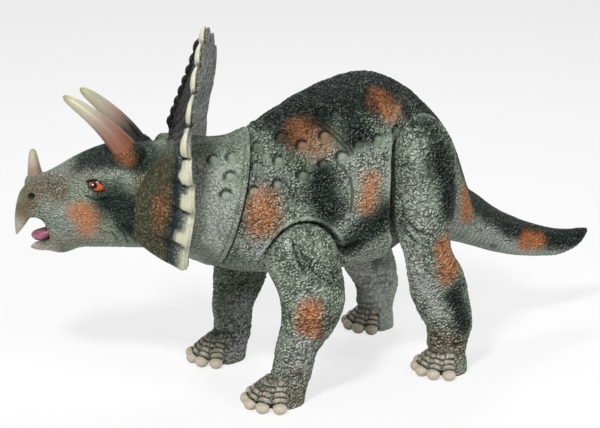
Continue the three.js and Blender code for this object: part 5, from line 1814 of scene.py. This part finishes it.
class FIGURE_OT_studs(bpy.types.Operator):
    """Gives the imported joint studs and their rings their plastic"""

    bl_idname = "figure.studs"
    bl_label = "Joint studs"

    def execute(self, context):
        s = new_shader("stud_moulding")
        place = s.place()
        fine = s.noise(place, 1200.0, 3.0)
        clouds = s.step(s.noise(place, 120.0), 0.4, 0.7)
        colour = s.mix(linear(217, 214, 204), linear(196, 192, 180), clouds)
        material = s.finish(colour, 0.42 + fine * 0.15, fine, depth=0.00008, strength=0.5)
        for name, node in frame["nodes"].items():
            if "stud" in name or "ring" in name:
                node.data.materials.clear()
                node.data.materials.append(material)
        return {"FINISHED"}


# Stage.

# The lamps: place in metres, width in metres, and watts.
LAMPS = {
    "key": ((0.7, -0.85, 1.3), 0.22, 20.0),
    "fill": ((1.3, 0.75, 0.9), 0.3, 8.0),
    "back": ((-0.8, 0.4, 1.3), 0.3, 6.0),
}
FLOOR_REACH = 6.0
WORLD_LIGHT = 0.33


def lay_floor():
    """A wide square of paper, which the camera sees almost white, under the figure's shadow."""
    corners = [(x * FLOOR_REACH, y * FLOOR_REACH, 0) for x, y in ((-1, -1), (1, -1), (1, 1), (-1, 1))]
    mesh = bpy.data.meshes.new("floor")
    mesh.from_pydata(corners, [], [(0, 1, 2, 3)])
    floor = new_piece("floor", mesh)
    s = new_shader("floor_paper")
    fine = s.noise(s.place(), 300.0, 2.0)
    paper = s.mix((0.86, 0.86, 0.86), (0.83, 0.83, 0.83), fine)
    flat = s.node("ShaderNodeBsdfDiffuse", {}, {"Color": paper})
    glow = s.node("ShaderNodeEmission", {}, {"Color": (1, 1, 1, 1), "Strength": 1.0})
    seen = s.node("ShaderNodeLightPath", out="Is Camera Ray")
    both = s.node("ShaderNodeMixShader", {}, {0: seen * 0.72, 1: flat, 2: glow})
    s.node("ShaderNodeOutputMaterial", {}, {"Surface": both})
    floor.data.materials.append(s.owner)


def light_world(scene):
    """An even white room: dimmer for the light that it gives than for what is seen of it."""
    scene.world = bpy.data.worlds.new("soft_room")
    s = Shader(scene.world)
    camera, glossy, through = (
        s.node("ShaderNodeLightPath", out=f"Is {kind} Ray") for kind in ("Camera", "Glossy", "Transmission")
    )
    seen = camera.maths("MAXIMUM", camera.maths("MAXIMUM", camera, glossy), through)
    strength = WORLD_LIGHT + seen * (1 - WORLD_LIGHT)
    sky = s.node("ShaderNodeBackground", {}, {"Color": (1, 1, 1, 1), "Strength": strength})
    s.node("ShaderNodeOutputWorld", {}, {"Surface": sky})


class FIGURE_OT_stage(bpy.types.Operator):
    """The stage: a white floor that keeps the shadow, soft lamps and the camera at the photograph's
    angle"""

    bl_idname = "figure.stage"
    bl_label = "Stage"

    def execute(self, context):
        scene = context.scene
        scene.view_settings.view_transform = "Standard"
        lay_floor()
        light_world(scene)

        aim = Vector((VIEW_AIM + SHIFT) / MM)
        for name, (place, size, watts) in LAMPS.items():
            lamp = bpy.data.lights.new(name, "AREA")
            lamp.size, lamp.energy = size, watts
            light = bpy.data.objects.new(name, lamp)
            scene.collection.objects.link(light)
            light.location = place
            light.rotation_euler = (aim - Vector(place)).to_track_quat("-Z", "Y").to_euler()

        back = view_axes()[0]
        camera = bpy.data.objects.new("camera", bpy.data.cameras.new("camera"))
        scene.collection.objects.link(camera)
        camera.data.sensor_width = SENSOR_WIDTH
        camera.data.lens = SENSOR_WIDTH * VIEW_FOCAL / PHOTO_WIDTH
        camera.location = Vector((VIEW_AIM + back * VIEW_DISTANCE + SHIFT) / MM)
        camera.rotation_euler = Vector(-back).to_track_quat("-Z", "Y").to_euler()
        scene.camera = camera
        return {"FINISHED"}


PIECES = (
    FIGURE_OT_torso, FIGURE_OT_tail, FIGURE_OT_head, FIGURE_OT_frill, FIGURE_OT_horns, FIGURE_OT_tongue,
    FIGURE_OT_eyes, FIGURE_OT_legs, FIGURE_OT_studs, FIGURE_OT_stage,
)


class FIGURE_PT_panel(bpy.types.Panel):
    """Lists the figure's pieces and their settings."""

    bl_idname = "FIGURE_PT_panel"
    bl_label = "Dinosaur figure"
    bl_space_type = "VIEW_3D"
    bl_region_type = "UI"
    bl_category = "Figure"

    def draw(self, context):
        for name in FigureLook.__annotations__:
            self.layout.prop(context.scene.figure_look, name)
        for piece in PIECES:
            self.layout.operator(piece.bl_idname)


CLASSES = (FigureLook, *PIECES, FIGURE_PT_panel)


def register():
    """Adds the classes, and the settings that the scene keeps."""
    for cls in CLASSES:
        bpy.utils.register_class(cls)
    bpy.types.Scene.figure_look = bpy.props.PointerProperty(type=FigureLook)


def unregister():
    """Takes them away again."""
    del bpy.types.Scene.figure_look
    for cls in reversed(CLASSES):
        bpy.utils.unregister_class(cls)


def main():
    """Builds every piece and the stage."""
    register()
    for piece in PIECES:
        group, name = piece.bl_idname.split(".")
        getattr(getattr(bpy.ops, group), name)()


if __name__ == "__main__":
    main()
